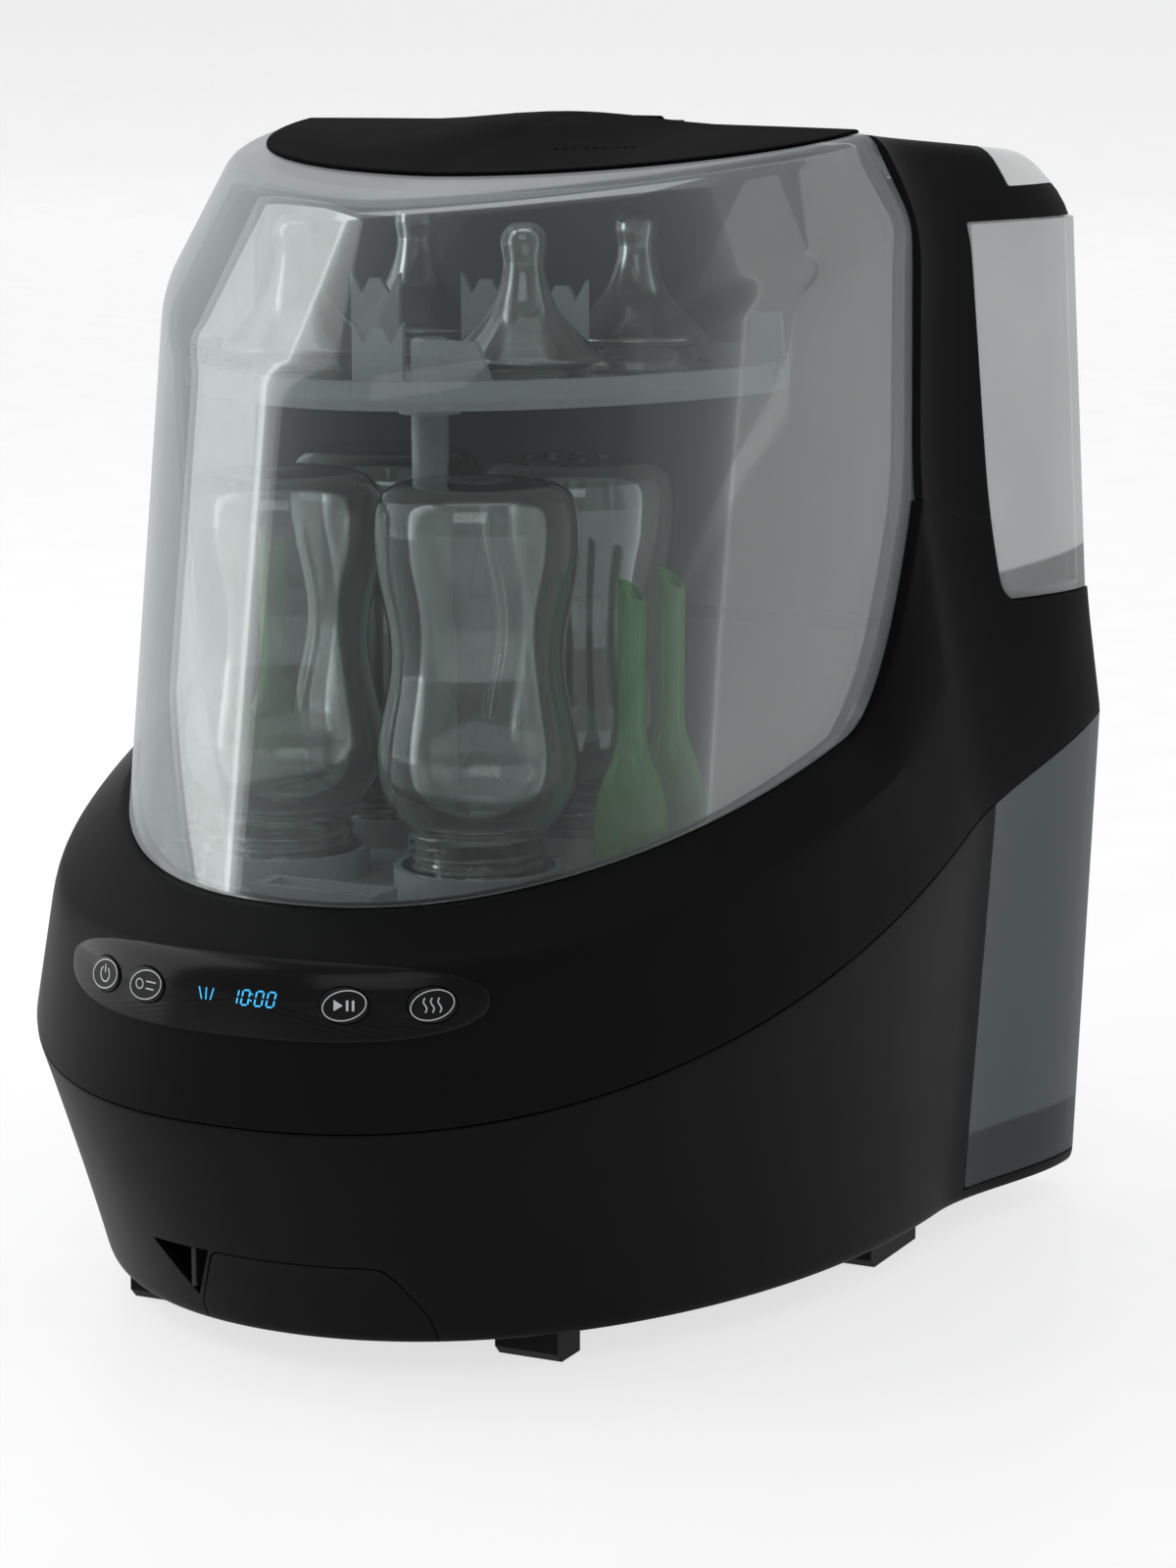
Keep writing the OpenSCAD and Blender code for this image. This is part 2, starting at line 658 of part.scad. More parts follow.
module bottle(i) {
    r = bottle_d / 2;
    c = [mid[0] + (i % 2 == 0 ? -1 : 1) * pitch, mid[1] + (i < 2 ? -1 : 1) * pitch, bottle_z];
    outer = [[21, 0], [21, 14], [22.5, 14], [22.5, 16], [26, 20], [r - 1, 30], [r, 36], [r - 0.8, 46],
        [r - 4, 62], [r - 4.6, 70], [r - 4, 78], [r - 0.8, 96], [r, 104], [r, 116], [r - 2, 122], [r - 6, 125]];
    t = 1.5;
    color([0.85, 0.88, 0.9, 0.3])
        translate(c) rotate_extrude($fn = 48)
            polygon(concat(outer, [[0, 125], [0, 125 - t]],
                [for (j = [len(outer) - 1:-1:0])
                    [outer[j][0] - t - (j == 2 || j == 3 ? 1.5 : 0), min(outer[j][1], 125 - t)]]));
}
upper_z = 296;
upper_mid = -4;
teat_pitch = 41;
module upper_plan(d) {
    intersection() {
        polygon(concat([for (a = FRONT) front_xy(inset(kink_lv, d), a)], [[0, mid_y]]));
        translate([0, upper_mid]) circle(r = 114 - d, $fn = 96);
        translate([-200, -300]) square([400, 300 + 78 - d]);
    }
}
module upper_rack() {
    color([0.8, 0.82, 0.83])
    difference() {
        union() {
            translate([0, 0, upper_z]) linear_extrude(2.5) upper_plan(10);
            translate([0, 0, upper_z]) linear_extrude(9) difference() {
                upper_plan(10);
                upper_plan(12.5);
            }
            translate([mid[0], mid[1], upper_z - 8]) cylinder(h = 14, r = 10, $fn = 32);
            rack_post(0, 8, 34);
            rack_post(-34, -5, 34);
            rack_post(34, -5, 34);
            rack_post(0, -66, 24);
            translate([14, -76, upper_z]) upright([[0, 0], [34, 0], [26, 20], [8, 20]], 0, 2.4);
            translate([79, 40, upper_z]) upright([[0, 0], [14, 0], [12, 22], [2, 22]], 0, 2.4);
        }
        translate([mid[0], mid[1], 0]) cylinder(h = 400, r = 6.1, $fn = 32);
        translate([mid[0], mid[1], 0]) cylinder(h = 267.2, r = 8.6, $fn = 32);
        for (s = [-1, 1]) for (i = [0:3])
            translate([s * 84 - 5, i * 15 - 22, upper_z - 1]) cube([10, 7, 10]);
    }
}
// Flat post with a W-notched top
module rack_post(x, y, h) {
    translate([x, y, upper_z]) upright(
        [[-9, 0], [9, 0], [9, h], [5, h - 7], [2, h - 2], [-2, h - 2], [-5, h - 7], [-9, h]], 0, 2.2);
}
teat_z = upper_z + 2.6;
module teat(i) {
    c = [(i % 2 == 0 ? -1 : 1) * teat_pitch, upper_mid + (i < 2 ? -1 : 1) * teat_pitch, teat_z];
    outer = [[26, 0], [26, 2.5], [21, 3], [21, 8], [24, 9], [22, 13], [17, 18], [11.5, 24], [8.2, 31],
        [6.4, 38], [7.2, 43], [7.4, 47], [6, 50], [3.5, 52]];
    t = 1.6;
    color([0.9, 0.9, 0.88, 0.45])
        translate(c) rotate_extrude($fn = 40)
            polygon(concat(outer, [[0.6, 52.5], [0.6, 52.5 - t]],
                [for (j = [len(outer) - 1:-1:0]) [max(0.6, outer[j][0] - t), min(outer[j][1], 50.6)]]));
}
vent_x = [-81, -81, 80, 80];
vent_y = [-22, 7, -48, -19];
vent_z = rack_z + 3.1;
module vent(i) {
    color([0.35, 0.6, 0.35, 0.6])
    translate([vent_x[i], vent_y[i], vent_z]) {
        difference() {
            union() {
                scaled_bulb();
                translate([0, 0, 48]) cylinder(h = 52, r = 4.6, $fn = 32);
            }
            translate([0, 0, 4]) cylinder(h = 110, r = 3.4, $fn = 32);
            translate([0, 0, 98]) rotate([0, 40, 0]) translate([-10, -10, 0]) cube([40, 20, 20]);
        }
    }
}
// Flattened bottle-shaped lower end of a vent insert
module scaled_bulb() {
    intersection() {
        rotate_extrude($fn = 40)
            polygon([[0, 0], [12, 0], [12.6, 4], [12.6, 22], [10.5, 34], [6.5, 43], [4.6, 50], [0, 50]]);
        translate([-20, -5.6, 0]) cube([40, 11.2, 60]);
    }
}

// ---- machine space ----
module steam_heater() {
    color([0.7, 0.68, 0.62])
    translate([mid[0], mid[1], basin_z - 4.2])
        rotate_extrude($fn = 64) translate([46, 0]) circle(r = 4, $fn = 24);
}
module wash_pump() {
    color([0.3, 0.3, 0.33]) {
        translate([-62, -31, 44]) rotate([0, 90, 0]) cylinder(h = 42, r = 24, $fn = 40);
        translate([-20, -31, 44]) rotate([0, 90, 0]) cylinder(h = 36, r = 19, $fn = 40);
        translate([0, -31, 62]) cylinder(h = 14, r = 7, $fn = 32);
    }
}
module wash_hose() {
    color([0.12, 0.12, 0.12])
    difference() {
        translate([0, -31, 76]) cylinder(h = 24.9, r = 8, $fn = 32);
        translate([0, -31, 75]) cylinder(h = 30, r = 5, $fn = 32);
    }
}
module drain_pump() {
    color([0.32, 0.32, 0.3]) {
        translate([50, 6, 36]) rotate([-90, 0, 0]) cylinder(h = 40, r = 17, $fn = 36);
        translate([sump_at[0], sump_at[1], 50]) cylinder(h = 8, r = 6, $fn = 28);
    }
}
module drain_hose() {
    color([0.12, 0.12, 0.12])
    difference() {
        translate([sump_at[0], sump_at[1], 58]) cylinder(h = basin_z - 22 - 58, r = 7, $fn = 28);
        translate([sump_at[0], sump_at[1], 50]) cylinder(h = 60, r = 4.5, $fn = 28);
    }
}
// Middle of the clean-water pump and its hose
inlet_at = [96, 40];
module inlet_pump() {
    color([0.35, 0.35, 0.37]) {
        translate([inlet_at[0], inlet_at[1], 30]) cylinder(h = 34, r = 14, $fn = 32);
        translate([inlet_at[0], inlet_at[1], 64]) cylinder(h = 8, r = 4, $fn = 24);
    }
}
module inlet_hose() {
    color([0.6, 0.62, 0.64])
    difference() {
        translate([inlet_at[0], inlet_at[1], 72]) cylinder(h = basin_z - 72, r = 4.5, $fn = 24);
        translate([inlet_at[0], inlet_at[1], 60]) cylinder(h = 80, r = 3, $fn = 24);
    }
}
// Middle of the fan's floor, and the scroll's and wheel's sizes
fan = [-48, 34, 38];
fan_r = 36;
fan_h = 30;
fan_wall = 2.5;
wheel_r = 28;
shaft_r = 3;
module fan_housing() {
    color([0.2, 0.2, 0.22])
    translate(fan)
    difference() {
        union() {
            cylinder(h = fan_h, r = fan_r, $fn = 56);
            translate([6, 10, 0]) cube([30, 39, fan_h]);
        }
        translate([0, 0, fan_wall]) cylinder(h = fan_h - 2 * fan_wall, r = fan_r - fan_wall, $fn = 56);
        translate([6 + fan_wall, 6, fan_wall]) cube([25, 60, fan_h - 2 * fan_wall]);
        translate([0, 0, -1]) cylinder(h = 5, r = 22, $fn = 40);
        translate([0, 0, 20]) cylinder(h = 20, r = shaft_r + 0.3, $fn = 24);
    }
}
module fan_impeller() {
    color([0.75, 0.75, 0.72])
    translate([fan[0], fan[1], fan[2] + 5])
    difference() {
        union() {
            cylinder(h = 3, r = wheel_r, $fn = 48);
            cylinder(h = 12, r = 2 * shaft_r, $fn = 32);
            for (a = [0:20:340]) rotate([0, 0, a]) translate([wheel_r - 8, -0.6, 2]) cube([7.5, 1.2, 15]);
        }
        translate([0, 0, -1]) cylinder(h = 20, r = shaft_r + 0.05, $fn = 24);
    }
}
module fan_motor() {
    color([0.45, 0.45, 0.47])
    translate(fan) {
        translate([0, 0, fan_h + 0.1]) cylinder(h = 22, r = 19, $fn = 40);
        translate([0, 0, 6]) cylinder(h = fan_h - 5.8, r = shaft_r, $fn = 24);
    }
}
module air_filter() {
    color([0.9, 0.9, 0.86])
    difference() {
        translate([fan[0] - 26, fan[1] - 26, body_z + 3.1]) cube([52, 52, 14]);
        for (i = [0:7]) translate([fan[0] - 22 + i * 6, fan[1] - 22, body_z + 10]) cube([2.4, 44, 10]);
    }
}
// Heating element in the hot-air duct behind the chamber wall
module drying_heater() {
    color([0.65, 0.6, 0.5]) {
        translate([-34, 79, 220]) cube([68, 5, 40]);
        for (i = [0:5]) translate([-30 + i * 11, 84, 222]) cube([4, 3, 36]);
    }
}
module main_board() {
    color([0.06, 0.32, 0.16]) translate([-92, -70, body_z + 9]) cube([60, 26, board_t]);
    color([0.06, 0.32, 0.16]) for (x = [-86, -40]) for (y = [-66, -48])
        translate([x, y, body_z + 3]) cylinder(h = 6.1, r = 2, $fn = 20);
}
// Socket for the mains lead, low on the left side
module power_inlet() {
    color([0.06, 0.06, 0.06])
    difference() {
        translate([-139, inlet_y, inlet_z]) cube([20, inlet_w, inlet_h]);
        translate([-140, inlet_y + 3, inlet_z + 3]) cube([15, inlet_w - 6, inlet_h - 6]);
    }
}

lower_housing();
upper_housing();
rear_column();
base_plate();
chamber_wall();
bay_wall();
dome();
dome_top_cover();
hinge_pin();
hinge_brackets();
clean_tank();
clean_tank_valve();
fill_flap();
dirty_tank();
tank_float();
control_panel();
display_module();
display_board();
service_cover();
finger_recess();
feet();
base_screws();
wash_basin();
basin_seal();
sump();
sump_filter();
spray_manifold();
feed_pipe();
lower_rack();
upper_rack();
steam_heater();
wash_pump();
wash_hose();
drain_pump();
drain_hose();
inlet_pump();
inlet_hose();
fan_housing();
fan_impeller();
fan_motor();
air_filter();
drying_heater();
main_board();
power_inlet();
button(0);  // power_button
button(1);  // mode_button
button(2);  // start_button
button(3);  // steam_dry_button
bottle(0);  // bottle_1
bottle(1);  // bottle_2
bottle(2);  // bottle_3
bottle(3);  // bottle_4
teat(0);  // teat_1
teat(1);  // teat_2
teat(2);  // teat_3
teat(3);  // teat_4
vent(0);  // vent_insert_1
vent(1);  // vent_insert_2
vent(2);  // vent_insert_3
vent(3);  // vent_insert_4
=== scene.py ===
import json
import math

import bmesh
import bpy
from mathutils import Matrix, Vector
from mathutils.bvhtree import BVHTree


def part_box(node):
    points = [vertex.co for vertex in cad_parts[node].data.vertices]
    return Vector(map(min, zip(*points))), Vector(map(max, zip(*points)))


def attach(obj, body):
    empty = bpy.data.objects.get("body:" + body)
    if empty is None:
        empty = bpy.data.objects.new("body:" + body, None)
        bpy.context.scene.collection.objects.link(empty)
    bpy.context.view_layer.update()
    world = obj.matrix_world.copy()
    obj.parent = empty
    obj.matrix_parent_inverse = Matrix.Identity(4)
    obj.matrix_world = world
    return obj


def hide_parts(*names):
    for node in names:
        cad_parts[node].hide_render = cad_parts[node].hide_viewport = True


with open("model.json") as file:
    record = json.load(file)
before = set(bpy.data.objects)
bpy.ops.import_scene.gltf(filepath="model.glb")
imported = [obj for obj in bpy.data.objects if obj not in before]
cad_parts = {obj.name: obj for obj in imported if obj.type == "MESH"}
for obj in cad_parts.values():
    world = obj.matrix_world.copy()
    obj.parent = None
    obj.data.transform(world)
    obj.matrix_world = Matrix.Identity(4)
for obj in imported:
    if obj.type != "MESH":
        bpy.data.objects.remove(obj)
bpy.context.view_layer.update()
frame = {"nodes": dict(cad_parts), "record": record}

MM = 0.001


def box_mm(node):
    lo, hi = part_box(node)
    return [v / MM for v in lo], [v / MM for v in hi]


def centre_mm(node):
    lo, hi = box_mm(node)
    return [(a + b) / 2 for a, b in zip(lo, hi)]


# ---------------------------------------------------------------- skin
# The housing's skin is a stack of levels, each a rounded outline that climbs towards the back.
low_lo, low_hi = box_mm("lower_housing")
dome_front = box_mm("dome")[0][1]
BODY_Z, BELT_FRONT, BACK_Y = low_lo[2], low_lo[1], low_hi[1]
HALF_BACK = box_mm("dirty_tank")[1][0]
MID_Y = box_mm("rear_column")[0][1]
WALL = 3.0
BACK_R = 8.0


class Level:
    """A rounded outline: half widths, ends in y, and heights at the front, the middle and the back."""

    def __init__(self, front, mid_w, back_w, back, full, z0, z1, z2, power):
        self.front, self.mid_w, self.back_w, self.back = front, mid_w, back_w, back
        self.full, self.z0, self.z1, self.z2, self.power = full, z0, z1, z2, power

    def numbers(self):
        return [self.front, self.mid_w, self.back_w, self.back,
                self.full, self.z0, self.z1, self.z2, self.power]

    def inset(self, d, up=0.0):
        return Level(self.front + d, self.mid_w - d, self.back_w - d, self.back - d, self.full,
                     self.z0 + up, self.z1 + up, self.z2 + up, self.power)

    def toward(self, other, t):
        return Level(*[a + (b - a) * t for a, b in zip(self.numbers(), other.numbers())])

    def at(self, s):
        """Point at s: -1 to 1 is the front half, left to right, and 1 to 3 the back half, right to left."""
        if abs(s) <= 1:
            a = s * math.pi / 2
            sa, ca = math.sin(a), max(0.0, math.cos(a))
            x = math.copysign(self.mid_w * abs(sa) ** (2 / self.full), sa)
            y = MID_Y - (MID_Y - self.front) * ca ** (2 / self.full)
            t = min(1.0, max(0.0, (y - self.front) / (MID_Y - self.front)))
            return Vector((x, y, self.z0 + (self.z1 - self.z0) * t ** self.power))
        v = s - 1
        side = 1.0
        if v > 1:
            v, side = 2 - v, -1.0
        if v < 0.4:
            u = v / 0.4
            x = self.mid_w + (self.back_w - self.mid_w) * u * u * (3 - 2 * u)
            y = MID_Y + (self.back - BACK_R - MID_Y) * u
        elif v < 0.8:
            a = math.pi / 2 * (v - 0.4) / 0.4
            x = self.back_w - BACK_R + BACK_R * math.cos(a)
            y = self.back - BACK_R + BACK_R * math.sin(a)
        else:
            x = (self.back_w - BACK_R) * (1 - v) / 0.2
            y = self.back
        z = self.z1 + (self.z2 - self.z1) * (y - MID_Y) / (self.back - MID_Y)
        return Vector((side * x, y, z))


belt = Level(BELT_FRONT, HALF_BACK - 13, HALF_BACK, BACK_Y, 2.18, 85.5, 146, 175, 1.4)
foot = Level(BELT_FRONT + 33, belt.mid_w - 10, HALF_BACK - 6, BACK_Y - 2, 2.06, BODY_Z, BODY_Z, BODY_Z, 1)
crease = Level(BELT_FRONT + 6, belt.mid_w - 8, HALF_BACK - 3, BACK_Y, 2.18, 135, 184, 196, 1.6)
rim = Level(dome_front - WALL, 127, 155, BACK_Y - 1, 2.14, 146, 194, 216.4, 1.1)
kink = Level(-113, 126, 148, BACK_Y - 2, 1.9, 304, 346, 347, 0.8)
top = Level(-80, 111, 132, BACK_Y - 10, 1.8, 358, 374.5, 366, 0.8)
SWEEP, SWEEP_FROM = 60.0, 0.76
CROWN = 1.0


def rim_at(s, d=0.0, up=0.0):
    lv = rim.inset(d, up)
    p = lv.at(s)
    if abs(s) <= 1:
        t = (p.y - lv.front) / (MID_Y - lv.front)
        p.z += SWEEP * max(0.0, min(1.0, (t - SWEEP_FROM) / (1 - SWEEP_FROM))) ** 2.2
    else:
        lv.z1 += SWEEP
        p = lv.at(s)
    return p


def roof_at(p, s, up=0.0):
    """Point of a roof that closes on the middle of the column's front, s of the way out to p."""
    return Vector((p.x * s, MID_Y + (p.y - MID_Y) * s, top.z1 * (1 - s) + p.z * s + CROWN * (1 - s * s) + up))


def steps(a, b, n):
    return [a + (b - a) * i / n for i in range(n + 1)]


# More points where the outline turns quickly: at the two sides of the front half
FRONT = [math.copysign(1 - (1 - abs(t)) ** 1.25, t) for t in steps(-1, 1, 120)]
SIDE = [1 + v for v in steps(0, 0.4, 20) + steps(0.4, 0.8, 16)[1:] + steps(0.8, 1, 8)[1:]]
BACK = SIDE + [4 - s for s in reversed(SIDE[:-1])]
AROUND = FRONT + BACK[1:-1]


def rounded(path, radii, n=5):
    """The path with each corner that has a radius replaced by a short curve."""
    out = [path[0]]
    for i in range(1, len(path) - 1):
        p, r = path[i], radii[i]
        if not r:
            out.append(p)
            continue
        a, b = path[i - 1] - p, path[i + 1] - p
        p0 = p + a.normalized() * min(r, a.length * 0.48)
        p2 = p + b.normalized() * min(r, b.length * 0.48)
        for t in steps(0, 1, n):
            out.append(p0 * (1 - t) ** 2 + p * 2 * t * (1 - t) + p2 * t * t)
    out.append(path[-1])
    return out


# ---------------------------------------------------------------- meshes
def new_mesh(name, verts, faces, smooth=35.0):
    me = bpy.data.meshes.new(name)
    me.from_pydata([tuple(c * MM for c in v) for v in verts], [], faces)
    bm = bmesh.new()
    bm.from_mesh(me)
    bmesh.ops.remove_doubles(bm, verts=bm.verts, dist=1e-6)
    bmesh.ops.dissolve_degenerate(bm, edges=bm.edges, dist=1e-7)
    bmesh.ops.recalc_face_normals(bm, faces=bm.faces)
    bm.to_mesh(me)
    bm.free()
    ob = bpy.data.objects.new(name, me)
    bpy.context.scene.collection.objects.link(ob)
    soften(ob, smooth)
    return ob


def soften(ob, degrees=35.0):
    ob.data.polygons.foreach_set("use_smooth", [True] * len(ob.data.polygons))
    ob.data.set_sharp_from_angle(angle=math.radians(degrees))
    ob.data.update()


def grid(rows, around=False, along=False):
    """Vertices and quads through rows; around joins each row's ends, along joins the last row to row 0."""
    m, k = len(rows[0]), len(rows)
    verts = [p for row in rows for p in row]
    faces = []
    for j in range(k if along else k - 1):
        for i in range(m if around else m - 1):
            a, b, n = j * m, ((j + 1) % k) * m, (i + 1) % m
            faces.append((a + i, a + n, b + n, b + i))
    return verts, faces


def applied(ob):
    """Applies every modifier of ob."""
    dg = bpy.context.evaluated_depsgraph_get()
    me = bpy.data.meshes.new_from_object(ob.evaluated_get(dg))
    ob.modifiers.clear()
    ob.data = me
    return ob


def thicken(ob, t):
    m = ob.modifiers.new("wall", "SOLIDIFY")
    m.thickness, m.offset, m.use_even_offset, m.use_quality_normals = t * MM, -1, False, True
    return applied(ob)


def cut(ob, *tools, how="DIFFERENCE", smooth=35.0):
    for tool in tools:
        m = ob.modifiers.new("cut", "BOOLEAN")
        m.operation, m.solver, m.object = how, "EXACT", tool
        applied(ob)
        bpy.data.objects.remove(tool)
    soften(ob, smooth)
    return ob


def prism(points, a, b, axis="y"):
    """Solid between a and b along one axis, from an outline in the other two."""
    def place(p, h):
        return {"x": (h, p[0], p[1]), "y": (p[0], h, p[1]), "z": (p[0], p[1], h)}[axis]
    n = len(points)
    verts = [place(p, a) for p in points] + [place(p, b) for p in points]
    faces = [tuple(range(n)), tuple(range(2 * n - 1, n - 1, -1))]
    faces += [(i, (i + 1) % n, n + (i + 1) % n, n + i) for i in range(n)]
    return new_mesh("tool", verts, faces)


def round_outline(points, radii, n=6):
    """A closed flat outline with rounded corners."""
    pts = [Vector((p[0], p[1], 0)) for p in points]
    k = len(pts)
    out = []
    for i in range(k):
        p, r = pts[i], radii[i] if isinstance(radii, (list, tuple)) else radii
        a, b = pts[i - 1] - p, pts[(i + 1) % k] - p
        if not r:
            out.append((p.x, p.y))
            continue
        p0 = p + a.normalized() * min(r, a.length * 0.48)
        p2 = p + b.normalized() * min(r, b.length * 0.48)
        for t in steps(0, 1, n):
            q = p0 * (1 - t) ** 2 + p * 2 * t * (1 - t) + p2 * t * t
            out.append((q.x, q.y))
    return out


def turned(name, profile, centre, n=64, smooth=40.0):
    """Solid turned round the upright line through centre, from (radius, height) points."""
    cx, cy, cz = centre
    angles = [2 * math.pi * i / n for i in range(n)]
    rows = [[Vector((cx + r * math.cos(a), cy + r * math.sin(a), cz + z)) for a in angles]
            for r, z in profile]
    verts, faces = grid(rows, around=True)
    k = len(rows)
    faces.append(tuple(range(n)))
    faces.append(tuple((k - 1) * n + i for i in range(n)))
    return new_mesh(name, verts, faces, smooth)


def joined(name, obs, smooth=35.0):
    """One mesh from several."""
    bm = bmesh.new()
    for ob in obs:
        bm.from_mesh(ob.data)
        bpy.data.objects.remove(ob)
    me = bpy.data.meshes.new(name)
    bm.to_mesh(me)
    bm.free()
    one = bpy.data.objects.new(name, me)
    bpy.context.scene.collection.objects.link(one)
    soften(one, smooth)
    return one


# ---------------------------------------------------------------- materials
def shader(name):
    mat = bpy.data.materials.new(name)
    mat.use_nodes = True
    nodes, links = mat.node_tree.nodes, mat.node_tree.links
    nodes.clear()
    out = nodes.new("ShaderNodeOutputMaterial")
    coord = nodes.new("ShaderNodeTexCoord")
    return mat, nodes, links, out, coord


def noise(nodes, links, coord, scale, detail=3.0):
    n = nodes.new("ShaderNodeTexNoise")
    n.inputs["Scale"].default_value = scale
    n.inputs["Detail"].default_value = detail
    links.new(coord.outputs["Object"], n.inputs["Vector"])
    return n.outputs["Fac"]


def ranged(nodes, links, value, lo, hi, a=0.3, b=0.7):
    m = nodes.new("ShaderNodeMapRange")
    m.inputs["From Min"].default_value, m.inputs["From Max"].default_value = a, b
    m.inputs["To Min"].default_value, m.inputs["To Max"].default_value = lo, hi
    links.new(value, m.inputs["Value"])
    return m.outputs["Result"]


def mixed(nodes, links, fac, a, b):
    m = nodes.new("ShaderNodeMix")
    m.data_type = "RGBA"
    m.inputs["A"].default_value = (*a, 1) if not hasattr(a, "node") else (0, 0, 0, 1)
    m.inputs["B"].default_value = (*b, 1)
    if hasattr(a, "node"):
        links.new(a, m.inputs["A"])
    links.new(fac, m.inputs["Factor"])
    return m.outputs["Result"]


def bumped(nodes, links, height, strength, distance, edge=0.0):
    b = nodes.new("ShaderNodeBump")
    b.inputs["Strength"].default_value = strength
    b.inputs["Distance"].default_value = distance
    links.new(height, b.inputs["Height"])
    if edge:
        e = nodes.new("ShaderNodeBevel")
        e.samples = 4
        e.inputs["Radius"].default_value = edge
        links.new(e.outputs["Normal"], b.inputs["Normal"])
    return b.outputs["Normal"]


def solid(name, colour, rough, grain=900.0, grain_depth=0.00004, spread=0.12, rough_spread=0.06, metal=0.0,
          edge=0.0005, wear=0.25, specular=0.5):
    """Opaque plastic, rubber or metal: mottled colour and roughness, a fine grain, and paler worn edges."""
    mat, nodes, links, out, coord = shader(name)
    p = nodes.new("ShaderNodeBsdfPrincipled")
    p.inputs["Metallic"].default_value = metal
    p.inputs["Specular IOR Level"].default_value = specular
    broad = noise(nodes, links, coord, 22.0)
    fine = noise(nodes, links, coord, grain, 2.0)
    dark = tuple(c * (1 - spread) for c in colour)
    pale = tuple(min(1.0, c * (1 + spread)) for c in colour)
    tone = mixed(nodes, links, ranged(nodes, links, broad, 0, 1), dark, pale)
    geo = nodes.new("ShaderNodeNewGeometry")
    rub = ranged(nodes, links, geo.outputs["Pointiness"], 0.0, wear, 0.52, 0.62)
    worn = tuple(min(1.0, c * 1.6 + 0.006) for c in colour)
    links.new(mixed(nodes, links, rub, tone, worn), p.inputs["Base Color"])
    smear = noise(nodes, links, coord, 25.0, 3.0)
    links.new(ranged(nodes, links, smear, rough - rough_spread, rough + rough_spread), p.inputs["Roughness"])
    links.new(bumped(nodes, links, fine, 0.35, grain_depth, edge), p.inputs["Normal"])
    links.new(p.outputs["BSDF"], out.inputs["Surface"])
    return mat


def clear(name, colour, face_on, edge_on, rough=0.06, sharpness=0.4, tint=(1, 1, 1), shine=1.0, foot=None):
    """Clear plastic: a coloured part that grows from face_on to edge_on at the rims, with shine over it."""
    mat, nodes, links, out, coord = shader(name)
    p = nodes.new("ShaderNodeBsdfPrincipled")
    p.inputs["Specular IOR Level"].default_value = 0.0
    p.inputs["Roughness"].default_value = 0.5
    through = nodes.new("ShaderNodeBsdfTransparent")
    through.inputs["Color"].default_value = (*tint, 1)
    facing = nodes.new("ShaderNodeLayerWeight")
    facing.inputs["Blend"].default_value = sharpness
    broad = noise(nodes, links, coord, 14.0)
    dark = tuple(c * 0.9 for c in colour)
    tone = mixed(nodes, links, ranged(nodes, links, broad, 0, 1), dark, colour)
    if foot:
        # Below a height that rises towards the back by slope, the colour turns to the darker low tone, with a
        # soft edge
        height, slope, low = foot
        parts = nodes.new("ShaderNodeSeparateXYZ")
        links.new(coord.outputs["Object"], parts.inputs["Vector"])
        tilted = nodes.new("ShaderNodeMath")
        tilted.operation = "MULTIPLY_ADD"
        tilted.inputs[1].default_value = -slope
        links.new(parts.outputs["Y"], tilted.inputs[0])
        links.new(parts.outputs["Z"], tilted.inputs[2])
        soft = 0.0006
        below = ranged(nodes, links, tilted.outputs["Value"], 1, 0, height - soft, height + soft)
        tone = mixed(nodes, links, below, tone, low)
    links.new(tone, p.inputs["Base Color"])
    body = nodes.new("ShaderNodeMixShader")
    links.new(ranged(nodes, links, facing.outputs["Facing"], face_on, edge_on, 0.0, 1.0), body.inputs["Fac"])
    links.new(through.outputs["BSDF"], body.inputs[1])
    links.new(p.outputs["BSDF"], body.inputs[2])
    gloss = nodes.new("ShaderNodeBsdfGlossy")
    smear = noise(nodes, links, coord, 45.0, 4.0)
    links.new(ranged(nodes, links, smear, rough * 0.7, rough * 1.4), gloss.inputs["Roughness"])
    normal = bumped(nodes, links, noise(nodes, links, coord, 60.0, 1.0), 0.1, 0.00002)
    links.new(normal, gloss.inputs["Normal"])
    fresnel = nodes.new("ShaderNodeFresnel")
    fresnel.inputs["IOR"].default_value = 1.45
    scaled = nodes.new("ShaderNodeMath")
    scaled.operation = "MULTIPLY"
    scaled.inputs[1].default_value = shine
    links.new(fresnel.outputs["Fac"], scaled.inputs[0])
    mix = nodes.new("ShaderNodeMixShader")
    links.new(scaled.outputs["Value"], mix.inputs["Fac"])
    links.new(body.outputs["Shader"], mix.inputs[1])
    links.new(gloss.outputs["BSDF"], mix.inputs[2])
    links.new(mix.outputs["Shader"], out.inputs["Surface"])
    return mat


def glow(name, colour, strength):
    """Lit display segments, a little uneven in brightness."""
    mat, nodes, links, out, coord = shader(name)
    p = nodes.new("ShaderNodeBsdfPrincipled")
    p.inputs["Roughness"].default_value = 0.3
    tone = mixed(nodes, links, ranged(nodes, links, noise(nodes, links, coord, 400.0), 0, 1),
                 tuple(c * 0.8 for c in colour), colour)
    links.new(tone, p.inputs["Base Color"])
    links.new(tone, p.inputs["Emission Color"])
    p.inputs["Emission Strength"].default_value = strength
    links.new(p.outputs["BSDF"], out.inputs["Surface"])
    return mat


